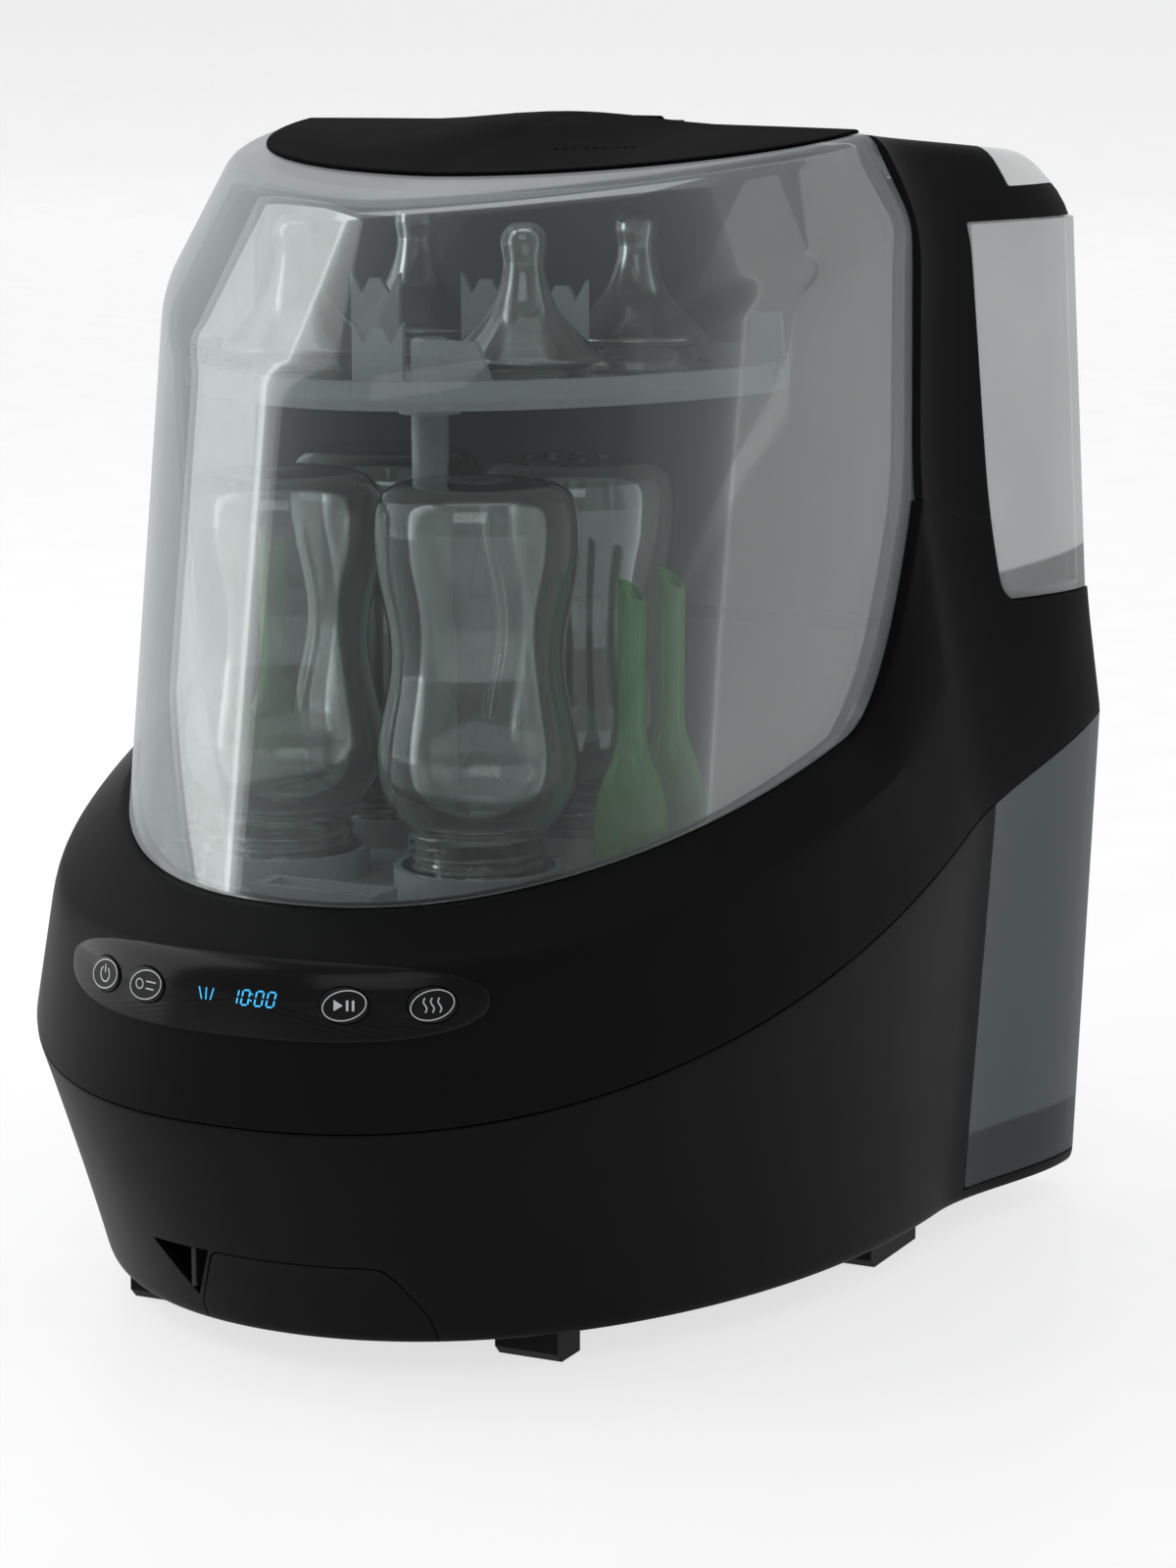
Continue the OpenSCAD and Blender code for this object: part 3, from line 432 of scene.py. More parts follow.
M = {
    "black_body": solid("black_body", (0.0046, 0.0046, 0.0048), 0.44, specular=0.045, spread=0.06,
                        rough_spread=0.025),
    "black_satin": solid("black_satin", (0.0048, 0.0048, 0.005), 0.44, specular=0.034, spread=0.06,
                         rough_spread=0.025),
    "smoked_clear": clear("smoked_clear", (0.42, 0.45, 0.45), 0.012, 1.0, rough=0.03, sharpness=0.2,
                          tint=(0.87, 0.895, 0.89), shine=0.45),
    "wall_plastic": solid("wall_plastic", (0.05, 0.054, 0.055), 0.5, wear=0.1, specular=0.15, edge=0.0),
    "steel": solid("steel", (0.5, 0.51, 0.52), 0.28, grain=1500.0, metal=1.0, wear=0.05),
    "tank_clear": clear("tank_clear", (0.62, 0.65, 0.645), 0.5, 0.85, rough=0.12, tint=(0.88, 0.9, 0.9),
                        shine=0.7, foot=(0.211, 0.13, (0.22, 0.24, 0.235))),
    "flap_clear": clear("flap_clear", (0.85, 0.87, 0.87), 0.7, 0.9, rough=0.2, tint=(0.92, 0.93, 0.93)),
    "tank_smoke": clear("tank_smoke", (0.075, 0.09, 0.093), 0.55, 0.9, rough=0.1, tint=(0.5, 0.55, 0.56),
                        shine=0.6, foot=(0.035, 0.0, (0.016, 0.022, 0.022))),
    "valve_grey": solid("valve_grey", (0.08, 0.08, 0.085), 0.5),
    "panel_gloss": solid("panel_gloss", (0.003, 0.003, 0.0035), 0.2, grain=300.0, grain_depth=0.000004,
                         specular=0.13, rough_spread=0.03, edge=0.0),
    "button_gloss": solid("button_gloss", (0.004, 0.004, 0.0045), 0.22, grain=300.0, grain_depth=0.000004,
                          specular=0.13, rough_spread=0.03, edge=0.0),
    "board_green": solid("board_green", (0.02, 0.12, 0.05), 0.45),
    "rack_grey": clear("rack_grey", (0.46, 0.49, 0.49), 0.6, 0.92, rough=0.25, tint=(0.9, 0.92, 0.92)),
    "seal_rubber": solid("seal_rubber", (0.03, 0.03, 0.03), 0.75, wear=0.1),
    "fan_white": solid("fan_white", (0.55, 0.55, 0.52), 0.5),
    "bottle_clear": clear("bottle_clear", (0.66, 0.7, 0.68), 0.03, 0.97, rough=0.02, sharpness=0.17,
                          tint=(0.965, 0.975, 0.97), shine=2.6),
    "teat_clear": clear("teat_clear", (0.5, 0.52, 0.51), 0.06, 0.9, rough=0.06, sharpness=0.2,
                        tint=(0.95, 0.955, 0.95), shine=2.4),
    "vent_green": clear("vent_green", (0.11, 0.36, 0.10), 0.5, 0.95, rough=0.08,
                        tint=(0.45, 0.85, 0.42), shine=1.2),
}
COVER_BLACK = solid("cover_black", (0.002, 0.002, 0.0021), 0.5, specular=0.003, spread=0.06,
                    rough_spread=0.025)
MARK = solid("mark_grey", (0.42, 0.43, 0.44), 0.45, grain=500.0, wear=0.0, edge=0.0)
BLUE = glow("display_blue", (0.03, 0.32, 0.62), 1.2)
DARK = solid("recess_black", (0.004, 0.004, 0.004), 0.7, wear=0.0)

SLOT_OF = {p["node"]: p["material_slot"] for p in frame["record"]["subparts"]}


def paint(ob, mat):
    ob.data.materials.clear()
    ob.data.materials.append(mat)
    return ob


def place(ob, node, body=None, mat=None, *more):
    """ob stands for a CAD node, in its body and finish."""
    slot = SLOT_OF[node]
    paint(ob, mat or M[slot])
    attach(ob, body or BODY_OF[node])
    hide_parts(node, *more)
    return ob


BODY_OF = {n: b for b, ns in frame["record"]["behaviour"]["bodies"].items() for n in ns}


# ---------------------------------------------------------------- housings
TANK_GAP = 0.6
STRIP_TOP = 15.0
BEHIND = 230.0
THROUGH_FRONT = (-150, -100)
TANK_Y = box_mm("dirty_tank")[0][1]
BAY_Y = TANK_Y - TANK_GAP
CLEAN_Y = box_mm("clean_tank")[0][1]
BAY_LOW = box_mm("clean_tank")[0][2] - TANK_GAP
BAY_TOP = box_mm("clean_tank")[1][2] + TANK_GAP
FLAP_Y, FLAP_Z = box_mm("fill_flap")[0][1], box_mm("fill_flap")[0][2]


def columns_to_rows(cols):
    return [list(r) for r in zip(*cols)]


def low_path(s, d=0.0):
    lv = [foot.toward(belt, t).inset(d) for t in (0.14, 0.28, 0.42, 0.56, 0.7, 0.85)]
    return [foot.inset(d).at(s)] + [v.at(s) for v in lv] + [belt.inset(d).at(s)]


def make_lower():
    cols = []
    for s in AROUND:
        out, inn = low_path(s), list(reversed(low_path(s, WALL)))
        seam = (out[-1] + inn[0]) / 2
        path = [seam] + inn + out + [seam]
        radii = [0] * len(path)
        radii[1], radii[len(inn) + 1], radii[-2] = 0.6, 5.0, 1.1
        cols.append(rounded(path, radii)[:-1])
    verts, faces = grid(columns_to_rows(cols), around=True, along=True)
    return new_mesh("housing_lower", verts, faces)


def rim_turn(s):
    """Points that turn the collar's slope towards the upright column; the weight is 1 behind the dome."""
    r, c, k = rim_at(s), crease.at(s), kink.at(s)
    w = 1.0 if abs(s) > 1 else max(0.0, min(1.0, (r.y - 35) / (MID_Y - 35)))
    w = w * w * (3 - 2 * w)
    start = r + (c - r).normalized() * 22
    end = r + (k - r).normalized() * 26
    bend = [start * (1 - t) ** 2 + r * 2 * t * (1 - t) + end * t * t for t in steps(0, 1, 12)]
    straight = [start.lerp(r, t / 6) for t in range(7)]
    lower = [straight[i].lerp(bend[i], w) for i in range(7)]
    return lower, bend[6:], w


def make_collar():
    cols = []
    for s in AROUND:
        b, c = belt.inset(0, 0.4).at(s), crease.at(s)
        lower, upper, w = rim_turn(s)
        inner = [rim_at(s, WALL + 3), crease.inset(WALL, -2).at(s), belt.inset(WALL, 0.4).at(s)]
        seam = (b + inner[-1]) / 2
        mids = [b.lerp(c, t) for t in (0.3, 0.6)]
        path = [seam, b] + mids + [c] + lower + inner + [seam]
        radii = [0] * len(path)
        radii[1], radii[4], radii[4 + len(lower)] = 0.8, 12.0, 1.5 * (1 - w) + 0.02
        radii[5 + len(lower)] = 0.8
        cols.append(rounded(path, radii)[:-1])
    verts, faces = grid(columns_to_rows(cols), around=True, along=True)
    return new_mesh("housing_collar", verts, faces)


def column_sheet(low=None):
    """Outer surface of the column and its roof."""
    cols = []
    for s in BACK:
        lower, upper, w = rim_turn(s)
        t = top.at(s)
        path = (upper if low is None else [kink.at(s).lerp(upper[-1], 0.12)]) + [kink.at(s), t]
        path += [roof_at(t, q, -CROWN) for q in (0.9, 0.75, 0.55, 0.3, 0.1)]
        radii = [0] * len(path)
        k = len(path) - 7
        radii[k], radii[k + 1] = 14.0, 9.0
        cols.append(rounded(path, radii))
    rows = columns_to_rows(cols)
    verts, faces = grid(rows)
    tip = len(verts)
    verts.append(Vector((0, MID_Y, top.z1)))
    last = (len(rows) - 1) * len(rows[0])
    faces += [(last + i, last + i + 1, tip) for i in range(len(rows[0]) - 1)]
    return new_mesh("housing_column", verts, faces)


def yz_block(y0, y1, z0, z1, radii, half=220):
    pts = round_outline([(y0, z0), (y1, z0), (y1, z1), (y0, z1)], radii)
    return prism(pts, -half, half, "x")


CLEAN_LEAN = 10.0


def clean_block(g, z0, z1, radii, half=220):
    """Block behind the clean tank's leaning front, whose foot is further back than its top."""
    foot_y = CLEAN_Y + CLEAN_LEAN + g
    pts = round_outline([(foot_y, z0), (BEHIND, z0), (BEHIND, z1), (CLEAN_Y + g, z1)], radii)
    return prism(pts, -half, half, "x")


# Where the front controls sit: the band between belt and crease
BAND = belt.toward(crease, 0.8)
LEAN = math.atan(6 / 50)
PANEL_LO, PANEL_HI = box_mm("control_panel")


def band_y(x):
    return MID_Y - (MID_Y - BAND.front) * (1 - (abs(x) / BAND.mid_w) ** BAND.full) ** (1 / BAND.full)


def on_band(x, z):
    turn = math.atan2(band_y(x + 1) - band_y(x - 1), 2)
    return (Matrix.Translation((x * MM, band_y(x) * MM, z * MM)) @ Matrix.Rotation(turn, 4, "Z")
            @ Matrix.Rotation(-LEAN, 4, "X"))


def oval(w, h, n=48):
    return [(w / 2 * math.cos(2 * math.pi * i / n), h / 2 * math.sin(2 * math.pi * i / n)) for i in range(n)]


PANEL_Z = 125.0
BUTTONS = {"power_button": -47.0, "mode_button": -28.5, "start_button": 38.0, "steam_dry_button": 61.0}
BUTTON_W, BUTTON_H = 15.0, 11.0


def button_tool(x, w, h):
    tool = prism(oval(w, h), -9, 9)
    tool.data.transform(on_band(x, PANEL_Z))
    return tool


lower = make_lower()
collar = make_collar()
bare_collar = collar.data.copy()
column = thicken(column_sheet(), WALL)

inlet_lo, inlet_hi = box_mm("power_inlet")
COVER = [(-26, BODY_Z - 8), (-26, 18), (-16, 38), (39, 38), (42, 35), (50, 20), (50, BODY_Z - 8)]
COVER_R = [0, 1.5, 3, 4, 4, 6, 0]
FINGER, FINGER_R = [(-42.5, 37.5), (-17.5, 38.5), (-27.2, 20)], [1.5, 1.5, 0.8]
COVER_GAP, INLET_GAP, BUTTON_GAP = 0.45, 0.3, 0.4


def grown(points, g):
    """The cover's outline with a gap of g round it, except at the straight bottom."""
    cx = sum(p[0] for p in points) / len(points)
    return [(x + (g if x > cx else -g), z + (g if z > 30 else 0)) for x, z in points]


in_y0, in_z0 = inlet_lo[1] - INLET_GAP, inlet_lo[2] - INLET_GAP
in_y1, in_z1 = inlet_hi[1] + INLET_GAP, inlet_hi[2] + INLET_GAP
cut(lower, yz_block(BAY_Y, BEHIND, STRIP_TOP, 230, [0.01, 0, 0, 0]),
    prism(round_outline(grown(COVER, COVER_GAP), COVER_R), *THROUGH_FRONT),
    prism(round_outline(FINGER, FINGER_R), *THROUGH_FRONT),
    prism([(in_y0, in_z0), (in_y1, in_z0), (in_y1, in_z1), (in_y0, in_z1)], -160, -120, "x"))
cut(collar, clean_block(-TANK_GAP, BAY_LOW, BAY_TOP, [9, 0, 0, 1.5]),
    *[button_tool(x, BUTTON_W + 2 * BUTTON_GAP, BUTTON_H + 2 * BUTTON_GAP) for x in BUTTONS.values()])
cut(column, clean_block(-TANK_GAP, BAY_LOW, BAY_TOP, [9, 0, 0, 1.5]),
    yz_block(FLAP_Y - 0.4, BEHIND, FLAP_Z - 0.4, 420, [1, 0, 0, 0]))
BARREL_R, BARREL_HALF = 4.5, box_mm("hinge_pin")[1][0] - 6
NOTCH, NOTCH_BACK = BARREL_HALF + 7, MID_Y + 14.6
barrel = turned("tool", [(BARREL_R + 0.6, -NOTCH), (BARREL_R + 0.6, NOTCH)], (0, 0, 0))
hinge = [j for j in frame["record"]["behaviour"]["joints"] if j["child"] == "dome_assembly"][0]
hy, hz = [v / MM for v in hinge["pos_m"][1:]]
barrel.data.transform(Matrix.Translation((0, hy * MM, hz * MM)) @ Matrix.Rotation(math.pi / 2, 4, "Y"))
notch = [(-NOTCH, MID_Y - 1), (NOTCH, MID_Y - 1), (NOTCH, NOTCH_BACK), (-NOTCH, NOTCH_BACK)]
cut(column, barrel, prism(notch, hz - 8.5, hz + 24, "z"))

shelf_ring = [rim.inset(1).at(s) for s in BACK]
shelf = prism([(p.x, p.y) for p in shelf_ring], BAY_LOW - 6, BAY_LOW - 1.5, "z")
collar = joined("housing_collar", [collar, shelf])

place(lower, "lower_housing")
place(collar, "upper_housing")
place(column, "rear_column")


# ---------------------------------------------------------------- dome and its cover
SKIN = 3.0
WALL_DOME = 2.5
REAR = MID_Y - 0.4
ROOF_STEPS = (0.9, 0.75, 0.55, 0.3, 0.1)


def dome_sheet(d, up):
    cols = []
    for s in FRONT:
        r, k = rim_at(s, d, 0.6), kink.inset(d).at(s)
        t = top.inset(d, up).at(s)
        path = [r, r.lerp(k, 0.33), r.lerp(k, 0.66), k, t] + [roof_at(t, q) for q in ROOF_STEPS]
        radii = [0] * len(path)
        radii[3], radii[4] = 7.0, 4.5
        col = rounded(path, radii, 7)
        for p in col:
            p.y = min(p.y, REAR)
        cols.append(col)
    return columns_to_rows(cols)


def closed_between(name, outer, inner, tip_out, tip_in, smooth=40.0):
    """Solid between two open grids of the same size that both close on a tip."""
    k, m = len(outer), len(outer[0])
    verts = [p for r in outer for p in r] + [p for r in inner for p in r] + [tip_out, tip_in]
    q, t = k * m, 2 * k * m
    faces = []
    for j in range(k - 1):
        for i in range(m - 1):
            a, b = j * m + i, (j + 1) * m + i
            faces.append((a, a + 1, b + 1, b))
            faces.append((q + b, q + b + 1, q + a + 1, q + a))
        for i in (0, m - 1):
            a, b = j * m + i, (j + 1) * m + i
            faces.append((a, b, q + b, q + a))
    last = (k - 1) * m
    for i in range(m - 1):
        faces.append((i, i + 1, q + i + 1, q + i))
        faces.append((last + i, last + i + 1, t))
        faces.append((q + last + i + 1, q + last + i, t + 1))
    faces.append((last, t, t + 1, q + last))
    faces.append((last + m - 1, t, t + 1, q + last + m - 1))
    return new_mesh(name, verts, faces, smooth)


dome = closed_between("dome_clear", dome_sheet(SKIN, 0), dome_sheet(SKIN + WALL_DOME, -WALL_DOME),
                      Vector((0, REAR, top.z1 + CROWN)), Vector((0, REAR, top.z1 + CROWN - WALL_DOME)))
place(dome, "dome")

# The cover is wide at the sides, set back in the middle, and has a low hump in front of the hinge
COVER_MID, COVER_SIDE, COVER_T, HUMP, HUMP_HALF = 0.71, 0.96, 1.2, 3.2, 55.0
cover_lv = top.inset(SKIN)
cover_front = MID_Y - (MID_Y - cover_lv.front) * COVER_MID


def cover_lift(x, y, full):
    bump = max(0.0, 1 - (x / HUMP_HALF) ** 2) ** 2
    t = max(0.0, min(1.0, (y - cover_front) / (MID_Y - cover_front)))
    return COVER_T * full + HUMP * bump * t * t * (3 - 2 * t)


def cover_rows(under):
    rows = []
    base = [cover_lv.at(s) for s in FRONT]
    shape = [(1.0, 0.12), (1.0, 0.45), (0.9985, 0.7), (0.995, 0.88), (0.989, 0.98), (0.98, 1.0)]
    shape += [(q, 1.0) for q in (0.95, 0.9, 0.84, 0.77, 0.69, 0.6, 0.5, 0.4, 0.3, 0.2, 0.1, 0.03)]
    for q, full in shape:
        row = []
        for p in base:
            s = (COVER_MID + (COVER_SIDE - COVER_MID) * (abs(p.x) / cover_lv.mid_w) ** 1.5) * q
            v = roof_at(p, s)
            v.z += 0.1 if under else cover_lift(v.x, v.y, full)
            v.y = min(v.y, REAR)
            row.append(v)
        rows.append(row)
    return rows


tip_z = top.z1 + CROWN
cover = closed_between("dome_cover_shell", cover_rows(False), cover_rows(True),
                       Vector((0, REAR, tip_z + COVER_T + HUMP)), Vector((0, REAR, tip_z + 0.1)))
half_tube = [(BARREL_R, BARREL_HALF - 0.5), (BARREL_R - 0.5, BARREL_HALF), (1.9, BARREL_HALF)]
tube = turned("tube", [(r, -z) for r, z in reversed(half_tube)] + half_tube, (0, 0, 0))
cut(tube, turned("tool", [(2.05, -60), (2.05, 60)], (0, 0, 0)))
tube.data.transform(Matrix.Translation((0, hy * MM, hz * MM)) @ Matrix.Rotation(math.pi / 2, 4, "Y"))
web = prism([(-24, MID_Y - 5), (24, MID_Y - 5), (24, hy - 3), (-24, hy - 3)], hz + 1.8, hz + 4.2, "z")
drills = []
for i in range(3):
    for j in (-1, 0, 1):
        hole = turned("tool", [(0.95, 360), (0.95, 400)], (46 - i * 9 + j * 2.6, 18 - i * 4 + j, 0), 16)
        drills.append(hole)
cut(cover, *drills)
place(joined("dome_cover", [cover, tube, web]), "dome_top_cover", mat=COVER_BLACK)


# ---------------------------------------------------------------- tanks and flap
def ring_behind(lv, y_from):
    """The level's outline behind y_from, closed by a straight line."""
    u = (y_from - MID_Y) / (lv.back - BACK_R - MID_Y)
    s0 = 1 + 0.4 * u
    keep = [s for s in SIDE if s > s0 + 0.005]
    right = [lv.at(s0)] + [lv.at(s) for s in keep]
    left = [Vector((-p.x, p.y, p.z)) for p in reversed(right[:-1])]
    pts = right + left
    a, b = pts[-1], pts[0]
    return pts + [a.lerp(b, t) for t in steps(0, 1, 10)[1:-1]]


def stack_behind(name, levels, d, y_from):
    rows = [ring_behind(lv.inset(d), y_from) for lv in levels]
    verts, faces = grid(rows, around=True)
    m, k = len(rows[0]), len(rows)
    for j in (0, k - 1):
        mid = sum((Vector(p) for p in rows[j]), Vector()) / m
        verts.append(mid)
        faces += [(j * m + i, j * m + (i + 1) % m, len(verts) - 1) for i in range(m)]
    return new_mesh(name, verts, faces)


TANK_WALL = 2.4
VALVE_HOLE_R, PORT_R, ROD_R = 7.1, 12, 3
tank_foot = Level(*rim.numbers())
tank_foot.z1 = tank_foot.z2 = BAY_LOW - 0.4
upper_levels = [tank_foot.toward(kink, t) for t in steps(0, 1, 6)]
clean = stack_behind("tank_clean", upper_levels, 0, CLEAN_Y - 1)
cut(clean, clean_block(0, BAY_LOW + TANK_GAP, BAY_TOP - TANK_GAP, [8.5, 0, 0, 1]), how="INTERSECT")
hollow = stack_behind("tool", upper_levels, TANK_WALL, CLEAN_Y)
cut(hollow, clean_block(TANK_WALL, BAY_LOW + 3, BAY_TOP + 9, [6.5, 0, 0, 0]), how="INTERSECT")
valve_at = centre_mm("clean_tank_valve")
valve_hole = turned("tool", [(VALVE_HOLE_R, 200), (VALVE_HOLE_R, BAY_LOW + 15)], (*valve_at[:2], 0), 32)
cut(clean, hollow, valve_hole)
place(clean, "clean_tank")

low_levels = [foot.toward(belt, t) for t in steps(0, 1, 8)]
for lv in low_levels:
    lv.z0, lv.z1, lv.z2 = lv.z0 - 0.4, lv.z1 - 0.4, lv.z2 - 0.4
dirty = stack_behind("tank_dirty", low_levels, 0, TANK_Y - 1)
cut(dirty, yz_block(TANK_Y, BEHIND, STRIP_TOP + TANK_GAP, 250, [2, 0, 0, 0]), how="INTERSECT")
for lv in low_levels:
    lv.z0, lv.z1, lv.z2 = lv.z0 - 2.6, lv.z1 - 2.6, lv.z2 - 2.6
hollow = stack_behind("tool", low_levels, TANK_WALL, TANK_Y + TANK_WALL)
FLOOR_Z = STRIP_TOP + TANK_GAP + TANK_WALL
cut(hollow, yz_block(TANK_Y + TANK_WALL, BEHIND, FLOOR_Z, 250, [1.5, 0, 0, 0]), how="INTERSECT")
cut(dirty, hollow, turned("tool", [(PORT_R, 140), (PORT_R, 200)], (0, 120, 0), 32))
float_at = centre_mm("tank_float")
rod = turned("rod", [(ROD_R, FLOOR_Z), (ROD_R, 152)], (*float_at[:2], 0), 24)
place(joined("tank_dirty", [dirty, rod]), "dirty_tank")

flap = thicken(column_sheet(low=True), WALL)
cut(flap, yz_block(FLAP_Y, BEHIND, FLAP_Z, 420, [1, 0, 0, 0]), how="INTERSECT")
flap.name = "flap_clear"
place(flap, "fill_flap")

service = make_lower()
cut(service, prism(round_outline(COVER, COVER_R), *THROUGH_FRONT), how="INTERSECT")
service.name = "service_panel"
place(service, "service_cover")


# ---------------------------------------------------------------- front controls
def surface_finder(mesh):
    verts = [v.co / MM for v in mesh.vertices]
    return BVHTree.FromPolygons(verts, [tuple(p.vertices) for p in mesh.polygons])


skin_tree = surface_finder(bare_collar)


def on_skin(x, z, off):
    hit, normal = skin_tree.ray_cast(Vector((x, -260, z)), Vector((0, 1, 0)))[:2]
    if normal.y > 0:
        normal = -normal
    return hit + normal * off


PANEL_X = (PANEL_LO[0] + PANEL_HI[0]) / 2
PANEL_HALF = (PANEL_HI[0] - PANEL_LO[0]) / 2
PANEL_T, PANEL_HALF_H = 0.9, 11.5


def stadium(half_w, half_h, n=160):
    """Outline with round ends, in x and z."""
    out = []
    for i in range(n):
        a = 2 * math.pi * i / n
        c, s = math.cos(a), math.sin(a)
        out.append((half_w * math.copysign(abs(c) ** 0.5, c), half_h * math.copysign(abs(s) ** 0.8, s)))
    return out


def skin_patch(name, outline, cx, cz, thick, sink, scales):
    """Thin plate that follows the skin inside an outline, with a rounded rim."""
    rows = [[on_skin(cx, cz, -sink)] * len(outline)]
    for k in (0.33, 0.66, 1.0):
        rows.append([on_skin(cx + x * k, cz + z * k, -sink) for x, z in outline])
    for k, lift in scales:
        rows.append([on_skin(cx + x * k, cz + z * k, thick * lift) for x, z in outline])
    verts, faces = grid(rows, around=True)
    return new_mesh(name, verts, faces, 50)


EDGE = [(1.0, 0.2), (0.999, 0.45), (0.996, 0.75), (0.991, 0.93), (0.984, 1.0)]
INSIDE = [(k, 1.0) for k in (0.95, 0.88, 0.8, 0.7, 0.6, 0.5, 0.4, 0.3, 0.2, 0.1, 0.001)]
glass_outline = stadium(PANEL_HALF, PANEL_HALF_H)
panel = skin_patch("control_glass", glass_outline, PANEL_X, PANEL_Z, PANEL_T, 0.1, EDGE + INSIDE)
cut(panel, *[button_tool(x, BUTTON_W + 0.6, BUTTON_H + 0.6) for x in BUTTONS.values()], smooth=50)
place(panel, "control_panel")


def strip(points, width, closed=False):
    """Flat line of a given width along points in a plane, as quads."""
    pts = [Vector((p[0], p[1], 0)) for p in points]
    n = len(pts)
    left, right = [], []
    for i, p in enumerate(pts):
        before = pts[i - 1] if (i or closed) else p
        after = pts[(i + 1) % n] if (i < n - 1 or closed) else p
        d = (after - before).normalized()
        side = Vector((-d.y, d.x, 0)) * width / 2
        left.append(p + side)
        right.append(p - side)
    quads = []
    for i in range(n if closed else n - 1):
        j = (i + 1) % n
        quads.append([left[i], left[j], right[j], right[i]])
    return quads


def arc(cx, cz, r, a0, a1, n=20):
    turns = [math.radians(a) for a in steps(a0, a1, n)]
    return [(cx + r * math.cos(a), cz + r * math.sin(a)) for a in turns]


def wave(x):
    return [(x + 0.5 * math.sin(t * 2 * math.pi), -2.2 + 4.4 * t) for t in steps(0, 1, 12)]


ICONS = {
    "power_button": strip(arc(0, 0, 2.4, 125, 415), 0.42) + strip([(0, 0.4), (0, 3.1)], 0.42),
    "mode_button": strip(arc(-2.6, 0, 1.5, 0, 360), 0.36) + strip([(0.2, 1.1), (4.4, 1.1)], 0.42)
    + strip([(0.2, -1.1), (3.6, -1.1)], 0.42),
    "start_button": [[Vector((-3.2, -1.7, 0)), Vector((-0.4, 0, 0)), Vector((-3.2, 1.7, 0))]]
    + strip([(0.9, -1.6), (0.9, 1.6)], 0.75) + strip([(2.7, -1.6), (2.7, 1.6)], 0.75),
    "steam_dry_button": strip(wave(-2.2), 0.42) + strip(wave(0), 0.42) + strip(wave(2.2), 0.42),
}


def marks(name, quads, lift, depth, place_point):
    """Raised print: every quad becomes a thin plate."""
    bm = bmesh.new()
    for q in quads:
        vs = [bm.verts.new(place_point(p.x, p.y, lift) * MM) for p in q]
        bm.faces.new(vs)
    bmesh.ops.remove_doubles(bm, verts=bm.verts, dist=1e-6)
    bmesh.ops.recalc_face_normals(bm, faces=bm.faces)
    made = bmesh.ops.extrude_face_region(bm, geom=list(bm.faces))
    moved = [g for g in made["geom"] if isinstance(g, bmesh.types.BMVert)]
    back = place_point(0, 0, lift - depth) - place_point(0, 0, lift)
    for v in moved:
        v.co += back * MM
    bmesh.ops.recalc_face_normals(bm, faces=bm.faces)
    me = bpy.data.meshes.new(name)
    bm.to_mesh(me)
    bm.free()
    ob = bpy.data.objects.new(name, me)
    bpy.context.scene.collection.objects.link(ob)
    return ob


# A button's rows, as a part of its width and a depth, from its back to the middle of its face
FACE = -1.4
KEY_ROWS = [(1.0, 3.0), (1.0, -0.9), (0.993, -1.15), (0.98, -1.32)]
KEY_ROWS += [(k, FACE) for k in (0.955, 0.8, 0.5, 0.01)]
for node, x in BUTTONS.items():
    there = on_band(x, PANEL_Z)
    rows = []
    for k, y in KEY_ROWS:
        rows.append([Vector((px * k, y, pz * k)) for px, pz in oval(BUTTON_W, BUTTON_H)])
    stem = [Vector((px, 3.0, pz)) for px, pz in oval(BUTTON_W - 6, BUTTON_H - 4)]
    stem_back = [[Vector((p.x * k, 6.0, p.z * k)) for p in stem] for k in (0.01, 1.0)]
    rows = stem_back + [stem] + rows
    verts, faces = grid(rows, around=True)
    key = new_mesh("key_" + node, verts, faces, 50)
    key.data.transform(there)
    place(key, node)

    def face_point(u, v, lift, there=there):
        return (there @ (Vector((u, FACE - lift, v)) * MM)) / MM

    tilt = math.radians(14)
    tilt_c, tilt_s = math.cos(tilt), math.sin(tilt)
    ring = [(u * tilt_c - v * tilt_s, u * tilt_s + v * tilt_c)
            for u, v in oval(BUTTON_W - 1.6, BUTTON_H - 2.2, 64)]
    icon = marks("print_" + node, strip(ring, 0.34, True) + ICONS[node], 0.05, 0.08, face_point)
    paint(icon, MARK)
    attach(icon, BODY_OF[node])

# Lit figures of the display, on the panel's face
SEGMENTS = {"0": "abcdef", "1": "bc"}
DIGIT_W, DIGIT_H, SLANT = 2.3, 4.4, 0.18


def digit(x0, z0, figure):
    w, h = DIGIT_W, DIGIT_H
    ends = {"a": ((0, h), (w, h)), "b": ((w, h), (w, h / 2)), "c": ((w, h / 2), (w, 0)),
            "d": ((w, 0), (0, 0)), "e": ((0, 0), (0, h / 2)), "f": ((0, h / 2), (0, h))}
    quads = []
    for k in SEGMENTS[figure]:
        (xa, za), (xb, zb) = ends[k]
        pa = Vector((xa, za, 0)).lerp(Vector((xb, zb, 0)), 0.12)
        pb = Vector((xb, zb, 0)).lerp(Vector((xa, za, 0)), 0.12)
        quads += strip([(x0 + pa.x + SLANT * pa.y, z0 + pa.y), (x0 + pb.x + SLANT * pb.y, z0 + pb.y)], 0.5)
    return quads


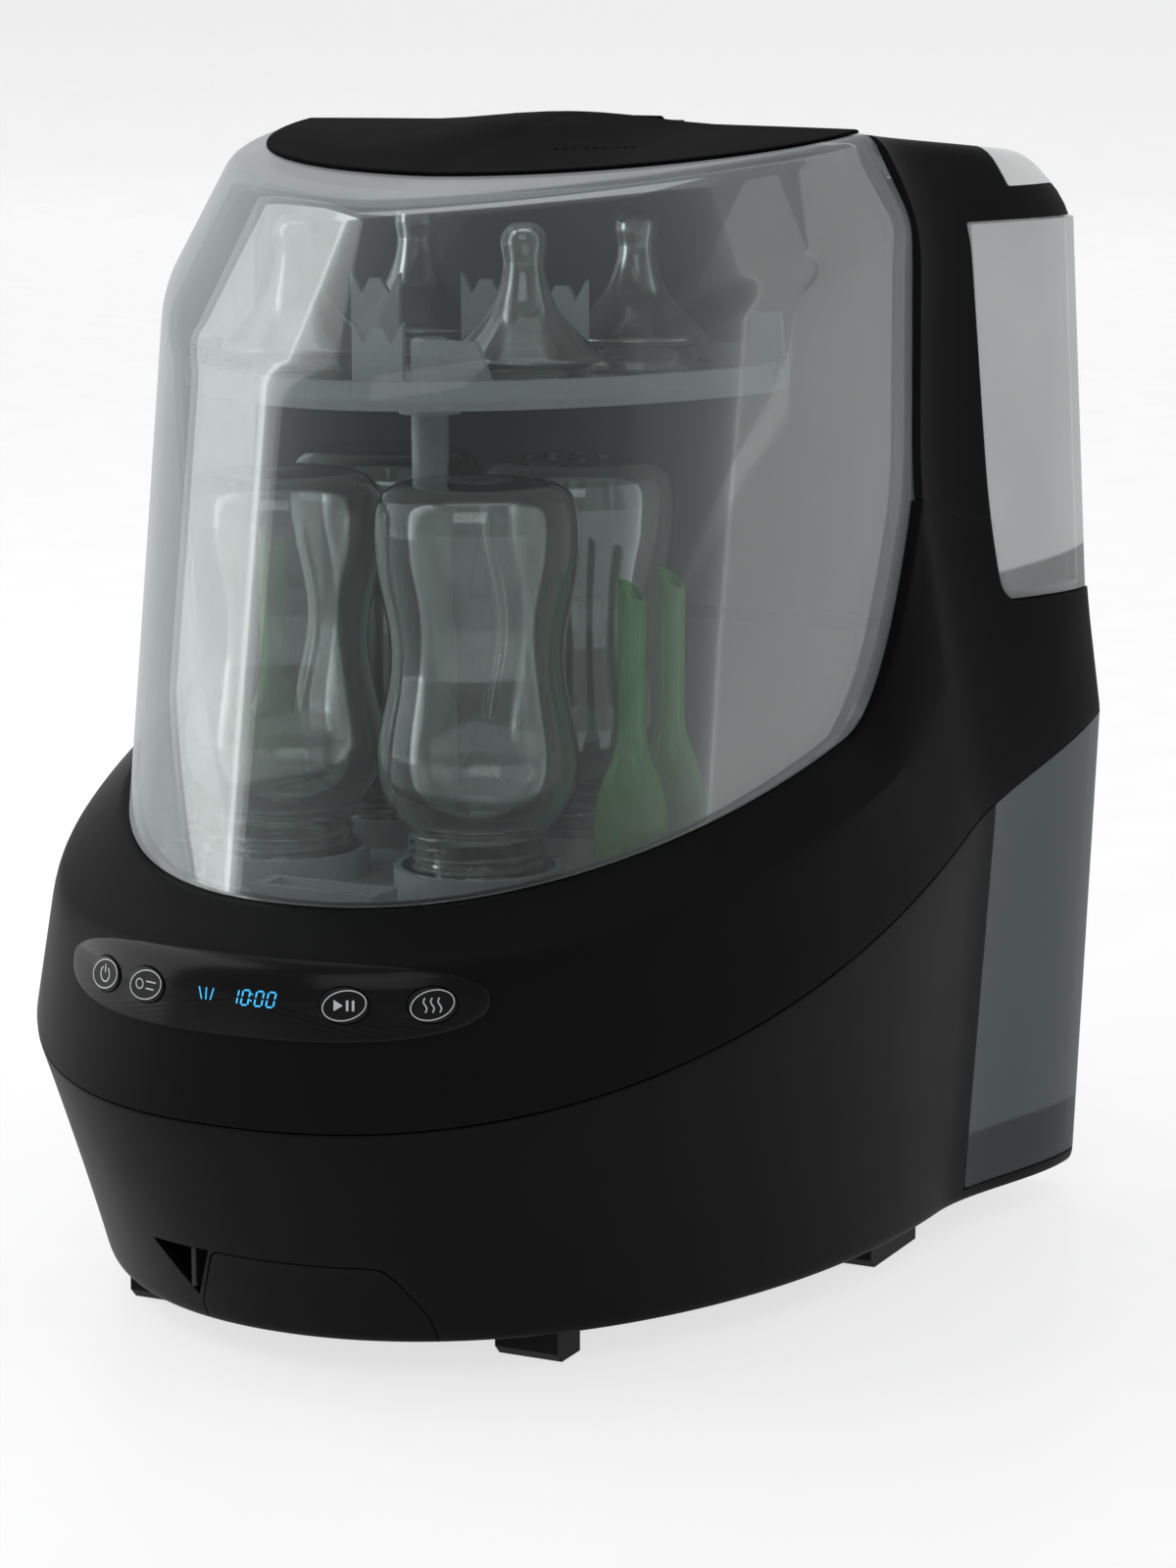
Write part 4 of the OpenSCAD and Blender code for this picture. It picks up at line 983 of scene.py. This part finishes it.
shown = centre_mm("display_module")
quads = []
for x0, f in ((-3.2, "1"), (0.5, "0"), (5.0, "0"), (8.8, "0")):
    quads += digit(x0, -2.2, f)
for z0 in (-1.0, 0.9):
    quads += strip([(4.0 + SLANT * z0, z0), (4.0 + SLANT * z0, z0 + 0.5)], 0.5)
for k in (-1, 0, 1):
    quads += strip([(-11.5 + 1.5 * k + 0.35 * t * k, -1.9 + t * 1.2) for t in (0, 1, 2, 3)], 0.4)
display = marks("display_figures", quads, PANEL_T + 0.06, 0.08,
                lambda u, v, lift: on_skin(shown[0] + u, PANEL_Z + 0.5 + v, lift))
paint(display, BLUE)
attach(display, BODY_OF["display_module"])


# ---------------------------------------------------------------- inside the chamber
def softened(points, n=5):
    """A smooth line through (radius, height) points."""
    pts = [Vector((p[0], p[1], 0)) for p in points]
    out = [pts[0]]
    for i in range(len(pts) - 1):
        a = pts[i - 1] if i else pts[i]
        b, c = pts[i], pts[i + 1]
        d = pts[i + 2] if i + 2 < len(pts) else c
        for k in range(1, n + 1):
            t = k / n
            out.append(0.5 * (2 * b + (c - a) * t + (2 * a - 5 * b + 4 * c - d) * t * t
                              + (3 * b - a - 3 * c + d) * t * t * t))
    return [(max(0.001, p.x), p.y) for p in out]


def thread(r, z0, turns, gap, height, n=40):
    """Ridge that winds up a neck."""
    total = int(turns * n)
    cols = []
    for i in range(total + 1):
        a = 2 * math.pi * i / n
        fade = min(1.0, i / 8, (total - i) / 8)
        z = z0 + gap * i / n
        ring = []
        for dr, dz in ((-0.6, -1.1), (height * fade, -0.35), (height * fade, 0.35), (-0.6, 1.1)):
            ring.append(Vector(((r + dr) * math.cos(a), (r + dr) * math.sin(a), z + dz)))
        cols.append(ring)
    verts, faces = grid(cols, around=True)
    return new_mesh("thread", verts, faces, 60)


BOTTLE_BODY = [(22.4, 15.2), (23.4, 17), (26.4, 20.2), (30.6, 27.5), (32, 36), (31.2, 46), (28.4, 60),
               (27.4, 70), (28.2, 80), (31, 95), (32, 104), (31.9, 114), (30.2, 120.6), (26, 124.2),
               (20, 125), (8, 124.4), (0.2, 124)]
for k in range(1, 5):
    node = f"bottle_{k}"
    lo, hi = box_mm(node)
    cx, cy, cz = (lo[0] + hi[0]) / 2, (lo[1] + hi[1]) / 2, lo[2]
    f = (hi[0] - lo[0]) / 64
    neck = [(19.6, 0.2), (20.1, 0), (20.9, 0.3), (21, 1.2), (21, 13), (21.3, 13.8), (22.4, 14), (22.5, 15)]
    profile = [(r * f, z) for r, z in neck + softened(BOTTLE_BODY, 4)]
    shell = turned("shell", profile[:-1], (cx, cy, cz), 72, 50)
    bm = bmesh.new()
    bm.from_mesh(shell.data)
    caps = [p for p in bm.faces if len(p.verts) > 8]
    mouth = min(caps, key=lambda p: p.calc_center_median().z)
    bmesh.ops.delete(bm, geom=[mouth], context="FACES")
    bm.to_mesh(shell.data)
    bm.free()
    shell = thicken(shell, 1.3)
    winding = thread(20.9 * f, 3.2, 2.4, 3.4, 0.95)
    winding.data.transform(Matrix.Translation((cx * MM, cy * MM, cz * MM)) @ Matrix.Rotation(1.1 * k, 4, "Z"))
    place(joined("bottle_glass_%d" % k, [shell, winding], 50), node)

TEAT = [(26, 0.2), (26, 1.8), (25.2, 2.6), (21.4, 3), (21, 4), (21, 7.4), (22.6, 8.4), (24, 9.2),
        (23.8, 11), (22, 13), (17, 18), (11.5, 24), (8.2, 31), (6.6, 37.5), (6.6, 41), (7.3, 44.5),
        (7.2, 48), (5.8, 50.6), (3.4, 52.1), (0.2, 52.5)]
for k in range(1, 5):
    node = f"teat_{k}"
    lo, hi = box_mm(node)
    cx, cy, cz = (lo[0] + hi[0]) / 2, (lo[1] + hi[1]) / 2, lo[2]
    f = (hi[0] - lo[0]) / 52
    teat = turned("teat_skin_%d" % k, [(r * f, z) for r, z in softened(TEAT, 3)], (cx, cy, cz), 64, 60)
    bm = bmesh.new()
    bm.from_mesh(teat.data)
    caps = [p for p in bm.faces if len(p.verts) > 8]
    bmesh.ops.delete(bm, geom=[min(caps, key=lambda p: p.calc_center_median().z)], context="FACES")
    bm.to_mesh(teat.data)
    bm.free()
    place(thicken(teat, 1.4), node)

# Vent inserts: a flattened bottle below, a tube with a slanting end above
VENT = [(9, 0.2), (11.4, 0.8), (12.3, 3), (12.6, 8), (12.6, 20), (11.8, 28), (9.6, 36), (6.6, 43),
        (4.9, 49), (4.6, 54)]
for k in range(1, 5):
    node = f"vent_insert_{k}"
    lo, hi = box_mm(node)
    cx, cy, cz = (lo[0] + hi[0]) / 2, (lo[1] + hi[1]) / 2, lo[2]
    high = hi[2] - lo[2]
    rows = []
    for r, z in softened(VENT, 3):
        t = max(0.0, min(1.0, (z - 30) / 20))
        ry = min(r, 5.6 * (1 - t) + r * t)
        ring = []
        for i in range(40):
            a = 2 * math.pi * i / 40
            e = 0.75 + 0.25 * t
            c, s = math.cos(a), math.sin(a)
            dx, dy = r * math.copysign(abs(c) ** e, c), ry * math.copysign(abs(s) ** e, s)
            ring.append(Vector((cx + dx, cy + dy, cz + z)))
        rows.append(ring)

    def slanted(r, top_z, slope):
        return [Vector((cx + r * math.cos(2 * math.pi * i / 40), cy + r * math.sin(2 * math.pi * i / 40),
                        top_z - slope * (1 + r / 4.6 * math.cos(2 * math.pi * i / 40)))) for i in range(40)]
    for z in (62, 72, 82, 88):
        rows.append(slanted(4.6, cz + z, 0))
    rows += [slanted(4.6, cz + high, 3.4), slanted(4.3, cz + high + 0.3, 3.4), slanted(3.5, cz + high, 3.4)]
    for z in (84, 60, 40, 12):
        rows.append(slanted(3.4, cz + z, 0))
    verts, faces = grid(rows, around=True)
    faces += [tuple(range(40)), tuple((len(rows) - 1) * 40 + i for i in range(40))]
    place(new_mesh("vent_tube_%d" % k, verts, faces, 60), node)

# Feed pipe: stepped, with a collar under the upper rack
lo, hi = box_mm("feed_pipe")
cx, cy = (lo[0] + hi[0]) / 2, (lo[1] + hi[1]) / 2
pipe_points = [(8.2, lo[2]), (8.2, lo[2] + 114), (7.9, lo[2] + 117), (6.9, lo[2] + 119.5), (6.8, 250),
               (7.2, 253.5), (8.2, 255), (8.4, 256), (8.4, 265.5), (8, 266.6), (6.2, 267.2), (6, 268),
               (6, hi[2] - 1), (5.2, hi[2])]
place(turned("pipe_feed", pipe_points, (cx, cy, 0), 56, 40), "feed_pipe")


# ---------------------------------------------------------------- what stays as in the CAD
OWN = {"finger_recess": DARK}
for node, ob in frame["nodes"].items():
    if ob.hide_render:
        continue
    paint(ob, OWN.get(node, M[SLOT_OF[node]]))
    soften(ob, 32)
for node, width in (("feet", 0.0009), ("upper_rack", 0.0004), ("lower_rack", 0.0004), ("power_inlet", 0.0005),
                    ("wash_basin", 0.0005), ("chamber_wall", 0.0004)):
    ob = frame["nodes"][node]
    b = ob.modifiers.new("edge", "BEVEL")
    b.width, b.segments, b.limit_method, b.angle_limit = width, 2, "ANGLE", math.radians(50)
    b.harden_normals = True


# ---------------------------------------------------------------- studio
def studio():
    """A floor that sweeps up into a wall behind."""
    bm = bmesh.new()
    n = 24
    rows = []
    profile = [(-9.0, 0.0), (4.4, 0.0), (5.0, 0.05), (5.5, 0.25), (5.8, 0.6), (5.9, 1.2), (5.9, 6.0)]
    for y, z in profile:
        rows.append([bm.verts.new((x, y, z)) for x in steps(-8, 8, n)])
    for j in range(len(rows) - 1):
        for i in range(n):
            bm.faces.new((rows[j][i], rows[j][i + 1], rows[j + 1][i + 1], rows[j + 1][i]))
    me = bpy.data.meshes.new("floor_sheet")
    bm.to_mesh(me)
    bm.free()
    ob = bpy.data.objects.new("floor_sheet", me)
    bpy.context.scene.collection.objects.link(ob)
    me.polygons.foreach_set("use_smooth", [True] * len(me.polygons))
    # The sheet is lit from within a little, so that it stays even away from the lamps
    pale = solid("floor_pale", (0.25, 0.25, 0.253), 0.45, grain=200.0, grain_depth=0.00002, spread=0.005,
                 wear=0.0, edge=0.0, specular=0.1)
    lit = next(n for n in pale.node_tree.nodes if n.type == "BSDF_PRINCIPLED")
    lit.inputs["Emission Color"].default_value = (1.0, 1.0, 1.0, 1)
    lit.inputs["Emission Strength"].default_value = 0.71
    paint(ob, pale)
    return ob


def lamp(name, where, aim, size, size_y, power, tone=(1, 1, 1)):
    data = bpy.data.lights.new(name, "AREA")
    data.shape, data.size, data.size_y, data.energy, data.color = "RECTANGLE", size, size_y, power, tone
    ob = bpy.data.objects.new(name, data)
    bpy.context.scene.collection.objects.link(ob)
    ob.location = where
    ob.rotation_mode = "QUATERNION"
    ob.rotation_quaternion = (Vector(aim) - Vector(where)).to_track_quat("-Z", "Y")
    return ob


studio()
lamp("lamp_left", (-1.7, -0.5, 1.1), (0, 0, 0.25), 2.2, 2.4, 40)
lamp("lamp_front", (0.9, -2.6, 1.7), (0, 0, 0.15), 2.0, 1.5, 14)
lamp("lamp_top", (0.1, 0.1, 2.2), (0, 0, 0.2), 1.8, 1.8, 8)
lamp("lamp_right", (2.0, 0.5, 1.0), (0, 0.05, 0.2), 1.6, 1.8, 3.5)

world = bpy.data.worlds.new("studio_air")
world.use_nodes = True
world.node_tree.nodes["Background"].inputs["Color"].default_value = (0.93, 0.935, 0.94, 1)
world.node_tree.nodes["Background"].inputs["Strength"].default_value = 0.45
bpy.context.scene.world = world
bpy.context.scene.view_settings.view_transform = "Standard"

# The camera stands where the photographer's did: a little to the right of the front and slightly above
AZ, EL, AWAY = math.radians(26), math.radians(11), 1.52542
aim_right = Vector((math.cos(AZ), math.sin(AZ), 0))
aim_back = Vector((math.sin(AZ) * math.cos(EL), -math.cos(AZ) * math.cos(EL), math.sin(EL)))
cam = bpy.data.objects.new("camera", bpy.data.cameras.new("camera"))
bpy.context.scene.collection.objects.link(cam)
cam.data.lens, cam.data.sensor_width, cam.data.sensor_fit = 101.25, 36.0, "AUTO"
cam.location = Vector((0, 0.065, 0.14992)) + aim_right * 0.0086 + aim_back * AWAY
cam.rotation_mode = "QUATERNION"
cam.rotation_quaternion = (-aim_back).to_track_quat("-Z", "Y")
cam.data.clip_start, cam.data.clip_end = 0.05, 60
bpy.context.scene.camera = cam
bpy.context.scene.cycles.transparent_max_bounces = 32
